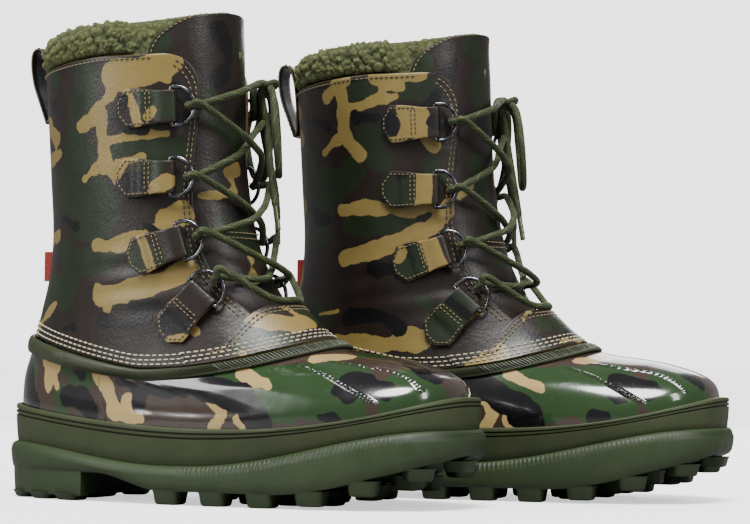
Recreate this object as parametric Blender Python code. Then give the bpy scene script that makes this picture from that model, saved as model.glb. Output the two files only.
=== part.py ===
"""Pair of insulated pac boots: rubber shells, laced leather uppers with D-rings, felt liners.

Metres, +Z up. Each boot is drawn in its own frame: x forward from the back of the sole,
y towards the outer side of the foot, z up from the floor. The boots stand side by side,
toes towards +X, the right boot on the -Y side.
"""

import math

import bmesh
import bpy
import numpy as np
from mathutils import Vector

# ---- driving dimensions ----------------------------------------------------------------
SOLE_LENGTH = 0.318
SOLE_HALF_WIDTH = 0.060
LEFT_FORWARD = 0.106        # the left boot stands this far ahead of the right one
BOOT_SPACING = 0.140        # between the two boots' centre lines
LEFT_TOE_OUT = math.radians(5.0)
CENTRE_X = 0.2115           # puts the origin under the middle of the pair
CENTRE_Y = 0.0799

LEATHER = 0.0020
GAP = 0.0004
SHELL_WALL = 0.0030
RIM_HEIGHT = 0.0105          # of the ribbed bead on the top edge of the shell
LAYER_GAP = 0.0010          # between layers of the upper
SHELL_FLANGE = 0.0049       # depth of the shell flange's inner face under the leather
TONGUE_OUTER = 0.0038
TONGUE_INNER = 0.0055
LINER_OUTER = 0.0068
LINER_INNER = 0.0122
CUFF_BULGE = -0.0012

LOOP_FOOT = 0.2380          # height of the pull loop's root

LUG_HEIGHT = 0.0085
HEEL_LENGTH = 0.076
HEEL_PITCH = 0.0235          # between lugs along the sole's edge
FORE_PITCH = 0.0320

RING_WIRE = 0.00125
RING_DEPTH = 0.0145
RING_HEIGHTS = (0.2425, 0.199, 0.159, 0.127)
RING_ANGLES = (54.0, 57.0, 57.0, 53.0)      # degrees round the shaft from its front
RING_SLOPES = (0.0, 0.0, 16.0, 42.0)        # degrees that each tab rises towards its ring
RING_LIFT = math.radians(12.0)

TAB_LENGTH = 0.036
TAB_HALF_WIDTH = 0.0121
TAB_FOLD_HALF_WIDTH = 0.0098
TAB_TIP_HALF_WIDTH = 0.0042
STRAP = 0.0016
BAR_HEIGHT = 0.0040         # of a ring's bar over the leather

LACE_RADIUS = 0.0021
AGLET_RADIUS = 0.0015
LACE_CLEAR = LACE_RADIUS + RING_WIRE + 0.0007

# Each level of the boot's skin, from the bottom of the shell to the top of the cuff:
# back x, front x, half width, squareness, forward fullness, and z at back, side and front.
SKIN = (
    (0.0095, 0.3065, 0.0550, 2.6, 0.16, 0.0390, 0.0280, 0.0520),
    (0.0075, 0.3090, 0.0570, 2.6, 0.16, 0.0595, 0.0465, 0.0670),
    (0.0080, 0.3020, 0.0570, 2.5, 0.15, 0.0740, 0.0570, 0.0790),
    (0.0110, 0.2740, 0.0562, 2.3, 0.11, 0.0885, 0.0685, 0.0885),
    (0.0145, 0.2260, 0.0542, 2.1, 0.07, 0.1015, 0.0795, 0.0970),
    (0.0195, 0.1985, 0.0520, 2.0, 0.04, 0.1200, 0.1070, 0.1175),
    (0.0255, 0.1810, 0.0508, 2.0, 0.02, 0.1420, 0.1370, 0.1400),
    (0.0280, 0.1695, 0.0508, 2.0, 0.00, 0.1680, 0.1660, 0.1670),
    (0.0265, 0.1625, 0.0518, 2.0, 0.00, 0.2020, 0.2020, 0.2030),
    (0.0245, 0.1595, 0.0530, 2.0, 0.00, 0.2380, 0.2410, 0.2440),
    (0.0225, 0.1585, 0.0540, 2.0, 0.00, 0.2670, 0.2740, 0.2790),
    (0.0210, 0.1575, 0.0535, 2.0, 0.00, 0.2870, 0.2945, 0.3040),
)
BAND_TOP = 1.0              # levels of the skin
RIM_TOP = 4.10
LEATHER_ROWS = (4.13, 4.4, 5.0, 6.0, 7.0, 8.0, 9.0, 9.4)

COLOURS = {                 # linear base colour, roughness, metallic
    "sole_rubber": ((0.066, 0.102, 0.045), 0.62, 0.0),
    "shell_rubber": ((0.110, 0.125, 0.060), 0.22, 0.0),
    "leather": ((0.055, 0.056, 0.034), 0.42, 0.0),
    "lining": ((0.150, 0.170, 0.070), 0.95, 0.0),
    "felt": ((0.120, 0.125, 0.090), 0.95, 0.0),
    "lace": ((0.090, 0.125, 0.030), 0.85, 0.0),
    "ring_metal": ((0.120, 0.120, 0.130), 0.28, 1.0),
    "tape": ((0.420, 0.120, 0.020), 0.75, 0.0),
}


# ---- small helpers ---------------------------------------------------------------------
def clear_scene():
    for obj in list(bpy.data.objects):
        bpy.data.objects.remove(obj, do_unlink=True)


def material(name):
    found = bpy.data.materials.get(name)
    if found:
        return found
    colour, roughness, metallic = COLOURS[name]
    made = bpy.data.materials.new(name)
    made.use_nodes = True
    shader = made.node_tree.nodes["Principled BSDF"]
    shader.inputs["Base Color"].default_value = (*colour, 1.0)
    shader.inputs["Roughness"].default_value = roughness
    shader.inputs["Metallic"].default_value = metallic
    return made


class Boot:
    """Where one boot stands: side is -1 for the right boot, +1 for the left one."""

    def __init__(self, name, side):
        self.name = name
        self.side = side
        self.ahead = LEFT_FORWARD if side > 0 else 0.0
        self.turn = LEFT_TOE_OUT if side > 0 else 0.0

    def place(self, points):
        """World points of boot-frame points."""
        points = np.asarray(points, float)
        x = points[..., 0]
        y = points[..., 1] * self.side
        c, s = math.cos(self.turn), math.sin(self.turn)
        return np.stack(
            [
                c * x - s * y + self.ahead - CENTRE_X,
                s * x + c * y + (BOOT_SPACING if self.side > 0 else 0.0) - CENTRE_Y,
                points[..., 2],
            ],
            axis=-1,
        )


def add_mesh(boot, name, points, faces, slot, smooth=True, origin=None):
    """One closed body from boot-frame points, named for its boot."""
    world = boot.place(points)
    centre = np.zeros(3) if origin is None else boot.place(origin)
    mesh = bpy.data.meshes.new(f"{name}_{boot.name}")
    mesh.from_pydata([tuple(p) for p in world - centre], [], [tuple(f) for f in faces])
    work = bmesh.new()
    work.from_mesh(mesh)
    bmesh.ops.recalc_face_normals(work, faces=work.faces)
    if work.calc_volume(signed=True) < 0:
        bmesh.ops.reverse_faces(work, faces=work.faces)
    work.to_mesh(mesh)
    work.free()
    mesh.materials.append(material(slot))
    obj = bpy.data.objects.new(f"{name}_{boot.name}", mesh)
    obj.location = centre
    bpy.context.scene.collection.objects.link(obj)
    if smooth:
        mesh.shade_smooth()
        mesh.set_sharp_from_angle(angle=math.radians(38))
    return obj


def loft(rings, cap=True):
    """Points and faces of stacked closed rings; each end is closed by strips across it."""
    count = len(rings[0])
    faces = []
    for k in range(len(rings) - 1):
        for i in range(count):
            j = (i + 1) % count
            faces.append((k * count + i, k * count + j, (k + 1) * count + j, (k + 1) * count + i))
    if not cap:
        for i in range(count):
            j = (i + 1) % count
            last = (len(rings) - 1) * count
            faces.append((last + i, last + j, j, i))
        return np.concatenate(rings), faces
    for start in (0, (len(rings) - 1) * count):
        for i in range(count // 2):
            across = [i, i + 1, count - i - 1, (count - i) % count]
            unique = list(dict.fromkeys(across))
            faces.append(tuple(start + n for n in unique))
    return np.concatenate(rings), faces


def sheet(outer, inner):
    """A closed body from two grids of points, the outer and the inner face of a patch."""
    rows, columns = outer.shape[:2]
    points = np.concatenate([outer.reshape(-1, 3), inner.reshape(-1, 3)])
    shift = rows * columns
    faces = []
    for r in range(rows - 1):
        for c in range(columns - 1):
            a = r * columns + c
            quad = (a, a + 1, a + columns + 1, a + columns)
            faces.append(quad)
            faces.append(tuple(shift + n for n in reversed(quad)))
    rim = [c for c in range(columns)]
    rim += [r * columns + columns - 1 for r in range(1, rows)]
    rim += [(rows - 1) * columns + c for c in range(columns - 2, -1, -1)]
    rim += [r * columns for r in range(rows - 2, 0, -1)]
    for a, b in zip(rim, rim[1:] + rim[:1]):
        faces.append((b, a, shift + a, shift + b))
    return points, faces


def blend_rows(table, position):
    """Smooth interpolation between the rows of a table, at a fractional row."""
    rows = np.asarray(table, float)
    position = np.clip(np.asarray(position, float), 0, len(rows) - 1)
    low = np.clip(np.floor(position).astype(int), 0, len(rows) - 2)
    t = (position - low)[..., None]
    p0, p1 = rows[np.clip(low - 1, 0, None)], rows[low]
    p2, p3 = rows[low + 1], rows[np.clip(low + 2, None, len(rows) - 1)]
    return p1 + 0.5 * t * (
        p2 - p0 + t * (2 * p0 - 5 * p1 + 4 * p2 - p3 + t * (3 * (p1 - p2) + p3 - p0))
    )


def ring_point(u, level):
    """A point of a closed plan curve: u runs 0 at the back, 0.25 outer side, 0.5 front."""
    back, front, half, square, full, z_back, z_side, z_front = np.moveaxis(level, -1, 0)
    c, s = -np.cos(2 * np.pi * u), np.sin(2 * np.pi * u)
    reach = np.sign(c) * np.abs(c) ** (2 / square)
    x = (back + front) / 2 + (front - back) / 2 * reach
    y = half * (1 + full * c) * np.sign(s) * np.abs(s) ** (2 / square)
    z = z_side + (z_front - z_side) * np.maximum(c, 0) ** 2
    z = z + (z_back - z_side) * np.maximum(-c, 0) ** 1.2
    return np.stack([x, y, z], axis=-1)


def skin(u, v, height=0.0):
    """The boot's outer skin, raised along its normal by height."""
    u, v, height = np.broadcast_arrays(*(np.asarray(a, float) for a in (u, v, height)))
    step = 1e-3
    here = ring_point(u, blend_rows(SKIN, v))
    low, high = np.clip(v - step, 0, None), np.clip(v + step, None, len(SKIN) - 1)
    around = ring_point(u + step, blend_rows(SKIN, v)) - ring_point(u - step, blend_rows(SKIN, v))
    upward = ring_point(u, blend_rows(SKIN, high)) - ring_point(u, blend_rows(SKIN, low))
    normal = np.cross(upward, around)
    normal /= np.linalg.norm(normal, axis=-1, keepdims=True)
    outward = here - np.array([0.10, 0.0, 0.06])
    flip = np.where((normal[..., :2] * outward[..., :2]).sum(-1) < 0, -1.0, 1.0)
    return here + normal * (flip * height)[..., None]


def level_at(u, z):
    """The skin level at which the skin passes height z, at u."""
    low, high = 0.0, float(len(SKIN) - 1)
    for _ in range(30):
        middle = (low + high) / 2
        if ring_point(np.float64(u), blend_rows(SKIN, middle))[2] < z:
            low = middle
        else:
            high = middle
    return (low + high) / 2


def angle_u(degrees):
    """u of an angle round the shaft, counted from the front towards the outer side."""
    return 0.5 - degrees / 360


def ramp(x, start, end):
    """Smooth step from 0 at start to 1 at end."""
    t = np.clip((np.asarray(x, float) - start) / (end - start), 0, 1)
    return t * t * (3 - 2 * t)


# ---- sole ------------------------------------------------------------------------------
def tread_z(x):
    """The lug tips' height: flat on the floor, then the toe spring."""
    return 0.027 * np.clip((np.asarray(x, float) - 0.212) / 0.106, 0, 1) ** 1.7


def groove_z(x):
    """The line between the outsole and the side band."""
    t = np.asarray(x, float) / SOLE_LENGTH
    return 0.0240 + 0.0116 * ramp(-t, -0.42, -0.02) + 0.0240 * ramp(t, 0.45, 1.0) ** 1.2


def plate_z(x):
    """The underside of the outsole's plate, between the lugs."""
    x = np.asarray(x, float)
    arch = 0.0095 * (1 - ramp(x, 0.085, 0.135))
    return tread_z(x) + LUG_HEIGHT + arch - 0.003 * ramp(x, 0.27, 0.318)


def sole_outline(count, inset=0.0):
    """Plan outline of the sole, as x and y, pulled in by inset."""
    u = np.arange(count) / count
    level = np.array([inset, SOLE_LENGTH - inset, SOLE_HALF_WIDTH - inset, 2.7, 0.17, 0, 0, 0])
    return ring_point(u, np.broadcast_to(level, (count, 8)))[:, :2]


def sole_ring(count, inset, height):
    flat = sole_outline(count, inset)
    return np.column_stack([flat, height(flat[:, 0])])


def lug(x, y, heading, length, width, top, bottom, taper=0.0016):
    """A tapered block, its long way along heading."""
    along = np.array([math.cos(heading), math.sin(heading)])
    side = np.array([-along[1], along[0]])
    rings = []
    for z, trim in ((top, 0.0), (bottom, taper)):
        corners = []
        for a, b in ((-1, -1), (1, -1), (1, 1), (-1, 1)):
            reach = along * a * (length / 2 - trim) + side * b * (width / 2 - trim)
            corners.append([x + reach[0], y + reach[1], z])
        rings.append(np.array(corners))
    return rings


def edge_lugs():
    """Where the lugs stand round the sole's edge: x, y and heading, close in the heel, wider ahead."""
    half = sole_outline(720, 0.0105)[:361]
    arc = np.concatenate([[0], np.cumsum(np.linalg.norm(np.diff(half, axis=0), axis=1))])
    heel = np.arange(0, np.interp(HEEL_LENGTH - 0.010, half[:, 0], arc), HEEL_PITCH)
    fore = np.arange(np.interp(0.138, half[:, 0], arc), arc[-1], FORE_PITCH)
    places = []
    for distance in np.concatenate([heel, fore]):
        i = int(np.clip(np.searchsorted(arc, distance), 3, len(half) - 4))
        x, y = (np.interp(distance, arc, half[:, k]) for k in range(2))
        ahead = half[i + 3] - half[i - 3]
        heading = math.atan2(ahead[1], ahead[0])
        if y < 0.010:
            places.append((x, 0.0, math.pi / 2))
        else:
            places += [(x, y, heading), (x, -y, -heading)]
    return places


def lug_rings():
    """Every lug of one sole as a pair of rings."""
    blocks = []
    for x, y, heading in edge_lugs():
        top = (0.0035 if x < HEEL_LENGTH else float(plate_z(x))) + 0.002
        blocks.append(lug(x, y, heading, 0.0165, 0.0150, top, float(tread_z(x))))
    for x in (0.146, 0.172, 0.198, 0.224, 0.250, 0.276):
        for y in (-0.016, 0.016):
            shift = 0.006 if y > 0 else -0.006
            top, bottom = float(plate_z(x)) + 0.002, float(tread_z(x))
            blocks.append(lug(x + shift, y, math.radians(90), 0.016, 0.0145, top, bottom))
    for x in (0.036, 0.058):
        blocks.append(lug(x, 0.0, math.radians(90), 0.030, 0.012, 0.0055, 0.0))
    return blocks


def helper(boot, name, points, faces):
    obj = add_mesh(boot, name, points, faces, "sole_rubber", smooth=False)
    obj.hide_render = True
    obj.display_type = "WIRE"
    return obj


def join_solid(target, other, operation="UNION"):
    modifier = target.modifiers.new(f"{operation}_{other.name}", "BOOLEAN")
    modifier.operation = operation
    modifier.object = other
    modifier.solver = "EXACT"


def add_outsole(boot, count=36):
    """Lugged plate with a raised heel block and a rounded shoulder under the side band."""
    rings = [
        sole_ring(count, 0.0056, lambda x: groove_z(x) - 0.0002),
        sole_ring(count, 0.0022, lambda x: groove_z(x) - 0.0006),
        sole_ring(count, 0.0000, lambda x: groove_z(x) - 0.0042),
        sole_ring(count, 0.0006, lambda x: plate_z(x) * 0.55 + groove_z(x) * 0.45 - 0.002),
        sole_ring(count, 0.0030, plate_z),
    ]
    body = add_mesh(boot, "outsole", *loft(rings), "sole_rubber")
    edge = sole_outline(120, 0.0022)
    heel = edge[edge[:, 0] < HEEL_LENGTH]
    heel = heel[np.argsort(np.arctan2(heel[:, 1], -(heel[:, 0] - HEEL_LENGTH)))][::3]
    low = np.column_stack([heel[:, 0] * 0.97 + 0.0012, heel[:, 1] * 0.96, np.full(len(heel), 0.0035)])
    high = np.column_stack([heel, np.full(len(heel), 0.0235)])
    block = np.concatenate([low, high])
    size = len(heel)
    faces = [tuple(range(size)), tuple(range(2 * size - 1, size - 1, -1))]
    faces += [(i, (i + 1) % size, size + (i + 1) % size, size + i) for i in range(size)]
    join_solid(body, helper(boot, "heel_block", block, faces))
    points, faces = [], []
    for low_ring, high_ring in lug_rings():
        start = len(points)
        points += list(low_ring) + list(high_ring)
        faces += [tuple(start + i for i in (0, 1, 2, 3)), tuple(start + i for i in (7, 6, 5, 4))]
        faces += [tuple(start + i for i in (a, (a + 1) % 4, 4 + (a + 1) % 4, 4 + a)) for a in range(4)]
    join_solid(body, helper(boot, "lugs", np.array(points), faces))


def add_side_band(boot, count=36):
    """Rubber foxing: a ring between the outsole and the shell's painted wall."""
    u = np.arange(count) / count
    outer_low = sole_ring(count, 0.0040, lambda x: groove_z(x) + 0.0004)
    inner_top = skin(u, BAND_TOP, 2 * GAP)
    inner_low = skin(u, 0.02, 2 * GAP)
    inner_low[:, 2] = groove_z(inner_low[:, 0]) + 0.0008
    outer_top = inner_top.copy()
    outer_top[:, :2] += (outer_low[:, :2] - inner_low[:, :2]) * 0.8
    add_mesh(boot, "side_band", *loft([outer_low, outer_top, inner_top, inner_low], cap=False), "sole_rubber")


def add_shell(boot, count=36):
    """The rubber shoe: a bowl with a flange standing up behind the leather."""
    u = np.arange(count) / count
    floor = skin(u, 0.0)
    floor[:, 2] = groove_z(floor[:, 0]) + 0.0022
    rings = [floor]
    rings += [skin(u, v) for v in (1.0, 1.9, 2.7, 3.4, 3.9)]
    rings += [skin(u, v, -LEATHER - 1.3 * LAYER_GAP) for v in (3.98, 4.40)]
    rings += [skin(u, v, -SHELL_FLANGE) for v in (4.40, 4.0)]
    rings += [skin(u, v, -SHELL_WALL) for v in (3.4, 2.7, 1.9, 1.0)]
    inside = skin(u, 0.0, -SHELL_WALL)
    inside[:, 2] = groove_z(inside[:, 0]) + 0.0062
    rings.append(inside)
    add_mesh(boot, "rubber_shell", *loft(rings), "shell_rubber")


def add_rim(boot, count=36):
    """The ribbed rubber bead round the top edge of the shell."""
    u = np.arange(count) / count
    stride = np.linalg.norm(skin(u, RIM_TOP) - skin(u, RIM_TOP - 0.5), axis=-1) / 0.5
    profile = ((RIM_HEIGHT, 0.0005), (RIM_HEIGHT + 0.0004, 0.0020), (0.0042, 0.0034), (0.0, 0.0026), (0.0002, 0.0005))
    rings = [skin(u, RIM_TOP - drop / stride, height) for drop, height in profile]
    add_mesh(boot, "shell_rim", *loft(rings, cap=False), "sole_rubber")


def add_footbed(boot, count=24):
    """The felt footbed on the shell's floor."""
    u = np.arange(count) / count
    rings = []
    for rise, inset in ((0.0070, -0.0048), (0.0114, -0.0048)):
        ring = skin(u, 0.3, inset)
        ring[:, 2] = groove_z(ring[:, 0]) + rise
        rings.append(ring)
    add_mesh(boot, "footbed", *loft(rings), "felt")


# ---- upper -----------------------------------------------------------------------------
def quarter_edge(v):
    """Degrees from the front at which a quarter's front edge lies, by level."""
    v = np.asarray(v, float)
    degrees = 36 + 10 * ramp(-v, -9.4, -7.3) - 16 * ramp(-v, -6.6, -4.4)
    corner = np.clip((v - 9.25) / 0.75, 0, 1)
    return degrees + 24 * (1 - np.sqrt(1 - corner**2))


def add_quarter(boot, name, hand, columns=10):
    """A leather side from the back seam to the lacing edge; hand is +1 for the outer side."""
    v = np.array(LEATHER_ROWS + (9.75, 10.0))[:, None]
    start = 0.0016
    end = 0.5 - quarter_edge(v) / 360
    t = np.linspace(0, 1, columns)[None, :]
    u = start + (end - start) * t
    u = u if hand > 0 else 1 - u
    v = np.broadcast_to(v, u.shape)
    outer, inner = skin(u, v, 0.0), skin(u, v, -LEATHER)
    add_mesh(boot, name, *sheet(outer, inner), "leather")


def vamp_top(degrees):
    """The level of the vamp's upper edge, by the angle from the front."""
    a = np.abs(np.asarray(degrees, float))
    return 4.13 + 1.02 * (1 - ramp(a, 22, 74)) ** 0.9


def add_vamp(boot, rows=4, columns=17):
    """The leather over the instep, lapped over the quarters and stitched to the shell."""
    degrees = np.linspace(-72, 72, columns)[None, :]
    t = np.linspace(0, 1, rows)[:, None]
    v = 4.13 + (vamp_top(degrees) - 4.13) * t + 0.02 * t
    u = np.broadcast_to(angle_u(degrees), v.shape)
    outer, inner = skin(u, v, LAYER_GAP + LEATHER), skin(u, v, LAYER_GAP)
    add_mesh(boot, "vamp", *sheet(outer, inner), "leather")


def tongue_half(v):
    """Degrees from the front that the gusseted tongue reaches, by level."""
    v = np.asarray(v, float)
    wide = 30 + 38 * ramp(v, 4.6, 7.5)
    crown = np.clip((v - 9.9) / 1.12, 0, 1)
    return wide * np.sqrt(1 - crown**2 * 0.72)


def add_tongue(boot, columns=9):
    """The wide tongue behind the lacing, taller than the quarters."""
    v = np.array((4.55,) + LEATHER_ROWS[2:] + (9.75, 10.0, 10.6, 10.98))[:, None]
    t = np.linspace(-1, 1, columns)[None, :]
    u = angle_u(tongue_half(v) * t)
    v = np.broadcast_to(v, u.shape)
    outer = skin(u, v, -TONGUE_OUTER)
    inner = skin(u, v, -TONGUE_INNER)
    add_mesh(boot, "tongue", *sheet(outer, inner), "leather")


def add_liner(boot, count=22):
    """The felt inner boot: a deep bag inside the shell and the leather."""
    u = np.arange(count) / count
    heights = (1.0, 1.9, 2.7, 3.4, 3.95, 4.4, 5.0, 6.0, 7.0, 8.0, 9.0, 9.65)
    bottom = skin(u, 0.5, -LINER_OUTER)
    bottom[:, 2] = groove_z(bottom[:, 0]) + 0.0128
    inside = skin(u, 0.5, -LINER_INNER)
    inside[:, 2] = groove_z(inside[:, 0]) + 0.0185
    rings = [bottom] + [skin(u, v, -LINER_OUTER) for v in heights]
    rings += [skin(u, v, -LINER_INNER) for v in reversed(heights[1::2])] + [inside]
    add_mesh(boot, "liner", *loft(rings), "felt")


def add_cuff(boot, count=24):
    """The fleece cuff of the liner, swelling out over the leather except behind the tongue."""
    u = np.arange(count) / count
    degrees = np.abs(np.where(u > 0.5, u - 0.5, 0.5 - u)) * 360
    free = ramp(degrees, 72, 86)
    tight = -LINER_OUTER
    profile = ((9.70, tight, tight), (10.03, tight, tight), (10.14, tight, CUFF_BULGE))
    profile += ((10.7, tight, CUFF_BULGE), (11.0, -0.0085, -0.0085))
    profile += ((10.7, -0.0145, -0.0145), (9.9, -0.0145, -0.0145), (9.70, -0.0115, -0.0115))
    rings = [skin(u, v, front + (side - front) * free) for v, front, side in profile]
    add_mesh(boot, "liner_cuff", *loft(rings, cap=False), "lining")


def add_heel_loop(boot):
    """The leather pull loop at the back seam, leaning back."""
    path = ((0.0004, 0.243), (0.0012, 0.262), (0.0030, 0.276), (0.0070, 0.2855), (0.0125, 0.2850))
    path += ((0.0140, 0.277), (0.0120, 0.264), (0.0076, 0.252), (0.0032, 0.2405))
    back = float(skin(0.0, level_at(0.0, 0.25))[0])
    line = [Vector((back - 0.0004 - out, 0.0, z)) for out, z in path]
    strap = 0.0016
    closed = line + [line[0] + Vector((-0.0022, 0.0, -0.004))]
    outside, inside = [], []
    centre = Vector((sum(p.x for p in line) / len(line), 0.0, 0.264))
    count = len(closed)
    for i in range(count):
        along = (closed[(i + 1) % count] - closed[i - 1]).normalized()
        normal = Vector((along.z, 0.0, -along.x))
        if normal.dot(closed[i] - centre) < 0:
            normal.negate()
        outside.append(closed[i] + normal * strap / 2)
        inside.append(closed[i] - normal * strap / 2)
    half = 0.0095
    rings = []
    for y, edge in ((-half, outside), (half, outside), (half, inside), (-half, inside)):
        rings.append(np.array([(p.x, y, p.z) for p in edge]))
    origin = np.array([back, 0.0, LOOP_FOOT])
    return add_mesh(boot, "heel_loop", *loft(rings, cap=False), "leather", origin=origin)


def add_side_tape(boot):
    """A small folded tape caught in the back seam, pointing back."""
    low, high, reach = 0.137, 0.156, 0.0065
    level = level_at(0.012, (low + high) / 2)
    foot = skin(0.012, level, 0.0005)
    corners = []
    for dy in (0.0, 0.0014):
        for dx, z in ((0.0, low), (-reach, low + 0.0008), (-reach, high - 0.0008), (0.0, high)):
            corners.append((foot[0] + dx - 0.0010, foot[1] + dy + 0.0004, z))
    faces = [(0, 1, 2, 3), (7, 6, 5, 4)] + [(i, (i + 1) % 4, 4 + (i + 1) % 4, 4 + i) for i in range(4)]
    add_mesh(boot, "side_tape", np.array(corners), faces, "tape", smooth=False)


# ---- tabs, rings and lace --------------------------------------------------------------
class RingSeat:
    """The frame of one ring: its bar's centre, and the ways along, up and out."""

    def __init__(self, row, hand):
        u = angle_u(RING_ANGLES[row])
        v = level_at(u, RING_HEIGHTS[row])
        self.u, self.v, self.hand = (u if hand > 0 else 1 - u), v, hand
        foot = skin(self.u, v)
        self.out = skin(self.u, v, 1.0) - foot
        flat = skin(self.u + hand * 0.004, v) - foot
        flat -= self.out * (flat @ self.out)
        flat /= np.linalg.norm(flat)
        rise = np.array([0.0, 0.0, 1.0])
        rise = rise - self.out * (rise @ self.out) - flat * (rise @ flat)
        rise /= np.linalg.norm(rise)
        slope = math.radians(RING_SLOPES[row])
        self.along = flat * math.cos(slope) + rise * math.sin(slope)
        self.up = rise * math.cos(slope) - flat * math.sin(slope)
        self.bar = foot + self.out * BAR_HEIGHT

    def ring_point(self, x, y, z=0.0):
        """A point in the ring's plane, which stands off the leather by the ring's lift."""
        c, s = math.cos(RING_LIFT), math.sin(RING_LIFT)
        return self.bar + self.along * (x * c - z * s) + self.up * y + self.out * (x * s + z * c)

    def tab_point(self, x, y, height):
        """A point over the leather, x along the tab from the bar and y across it."""
        near = self.bar - self.out * BAR_HEIGHT + self.along * x + self.up * y
        return onto_skin(near, height)


def onto_skin(point, height):
    """The point of the skin straight under a point near it, raised by height."""
    v = 7.0
    u = 0.25 if point[1] > 0 else 0.75
    for _ in range(14):
        here = skin(u, v)
        du = (skin(u + 1e-4, v) - here) / 1e-4
        dv = (skin(u, v + 1e-3) - here) / 1e-3
        system = np.array([[du @ du, du @ dv], [du @ dv, dv @ dv]])
        step = np.linalg.solve(system, [(point - here) @ du, (point - here) @ dv])
        u, v = u + float(np.clip(step[0], -0.1, 0.1)), float(np.clip(v + step[1], 3.0, 10.9))
    return skin(u, v, height)


def add_tab(boot, seat, name):
    """A pentagonal leather tab, folded round the ring's bar with a short tail beneath."""
    low = 2 * GAP + STRAP / 2
    turn = RING_WIRE + 0.0004 + STRAP / 2
    lower = BAR_HEIGHT - turn
    top = [(-TAB_LENGTH, low), (-0.0290, low), (-0.0235, low + 0.0003), (-0.0180, lower + 0.0021)]
    top += [(-0.0110, lower + 0.0027), (-0.0050, BAR_HEIGHT + turn * 0.86), (0.0, BAR_HEIGHT + turn)]
    bend = [(turn * math.cos(math.radians(a)), BAR_HEIGHT + turn * math.sin(math.radians(a))) for a in (45, 0, -45)]
    tail = [(0.0, lower), (-0.0060, lower), (-0.0160, lower)]
    path = top + bend + tail
    rows = []
    for i, (x, h) in enumerate(path):
        before, after = path[max(i - 1, 0)], path[min(i + 1, len(path) - 1)]
        dx, dh = after[0] - before[0], after[1] - before[1]
        size = math.hypot(dx, dh)
        nx, nh = -dh / size * STRAP / 2, dx / size * STRAP / 2
        half = TAB_FOLD_HALF_WIDTH
        if i < len(top) - 1:
            half = TAB_FOLD_HALF_WIDTH + (TAB_HALF_WIDTH - TAB_FOLD_HALF_WIDTH) * float(ramp(-x, 0.004, 0.024))
        if i == 0:
            half = TAB_TIP_HALF_WIDTH
        elif i == 1:
            half = TAB_HALF_WIDTH
        corners = ((-half, 1), (half, 1), (half, -1), (-half, -1))
        rows.append([seat.tab_point(x + nx * side, y, h + nh * side) for y, side in corners])
    points = np.array(rows).reshape(-1, 3)
    faces = [(0, 1, 2, 3), tuple(len(points) - 4 + k for k in (3, 2, 1, 0))]
    for i in range(len(path) - 1):
        for k in range(4):
            j = (k + 1) % 4
            faces.append((4 * i + k, 4 * i + j, 4 * i + 4 + j, 4 * i + 4 + k))
    add_mesh(boot, name, points, faces, "leather")


RING_OUTLINE = ((0.0, -0.0105), (0.0, 0.0), (0.0, 0.0105), (0.0022, 0.01175), (0.0062, 0.0115))
RING_OUTLINE += ((0.0102, 0.0093), (0.0133, 0.0052), (RING_DEPTH, 0.0))
RING_OUTLINE += tuple((x, -y) for x, y in RING_OUTLINE[-2:2:-1])


def add_d_ring(boot, seat, name, sides=6):
    """A D-shaped wire ring with its straight bar in the tab's fold."""
    path = [seat.ring_point(x, y) for x, y in RING_OUTLINE]
    flat = np.cross(seat.ring_point(1, 0) - seat.bar, seat.up)
    flat /= np.linalg.norm(flat)
    rings = []
    count = len(path)
    for i in range(count):
        along = path[(i + 1) % count] - path[i - 1]
        side = np.cross(along, flat)
        side /= np.linalg.norm(side)
        turns = [2 * math.pi * k / sides for k in range(sides)]
        rings.append(np.array([path[i] + RING_WIRE * (math.cos(a) * side + math.sin(a) * flat) for a in turns]))
    add_mesh(boot, name, *loft(rings, cap=False), "ring_metal", origin=seat.bar)


def smooth_route(points, spacing):
    """Points of a smooth curve through the route's own points, with more on its long stretches."""
    rows = np.array(points)
    places = [0.0]
    for i, size in enumerate(np.linalg.norm(np.diff(rows, axis=0), axis=1)):
        pieces = max(1, round(size / spacing))
        places += [i + (k + 1) / pieces for k in range(pieces)]
    fine = blend_rows(rows, np.linspace(0, len(rows) - 1, 40 * len(rows)))
    return blend_rows(rows, places), float(np.linalg.norm(np.diff(fine, axis=0), axis=1).sum())


def ring_turn(seat, from_over):
    """The lace's turn round a ring's bow: in over it and out under it, or the other way."""
    turn = [(RING_DEPTH + 0.0050, 0.0, LACE_CLEAR)]
    for degrees in (92, 136, 180, 224, 268):
        a = math.radians(degrees)
        turn.append((RING_DEPTH + LACE_CLEAR * math.cos(a), 0.0, LACE_CLEAR * math.sin(a)))
    if not from_over:
        turn.reverse()
    return [seat.ring_point(x, y, z) for x, y, z in turn]


# The bow hangs at the front of one side: across, down and out of the knot, in metres.
KNOT_ANGLE = -34.0
KNOT_HEIGHT = 0.263
KNOT_OUT = 0.0065
BOW_NEAR = ((0.0, 0.000, 0.0050), (-0.013, 0.008, 0.0070), (-0.021, 0.030, 0.0090), (-0.017, 0.056, 0.0090),
            (-0.009, 0.058, 0.0090), (-0.005, 0.030, 0.0100), (-0.0045, 0.009, 0.0080))
BOW_FAR = ((0.0048, -0.001, 0.0050), (0.018, 0.006, 0.0080), (0.029, 0.028, 0.0110), (0.026, 0.054, 0.0110),
           (0.017, 0.058, 0.0110), (0.009, 0.032, 0.0110), (0.0050, 0.009, 0.0090))
END_NEAR = ((-0.0022, 0.005, 0.0010), (-0.002, 0.030, 0.0040), (-0.010, 0.064, 0.0040), (-0.012, 0.096, 0.0030))
END_FAR = ((0.0050, 0.006, 0.0020), (0.006, 0.032, 0.0045), (0.0075, 0.068, 0.0110), (0.012, 0.104, 0.0100))


def over_skin(degrees, z, height):
    u = angle_u(degrees)
    return skin(u, level_at(u, z), height)


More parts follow.
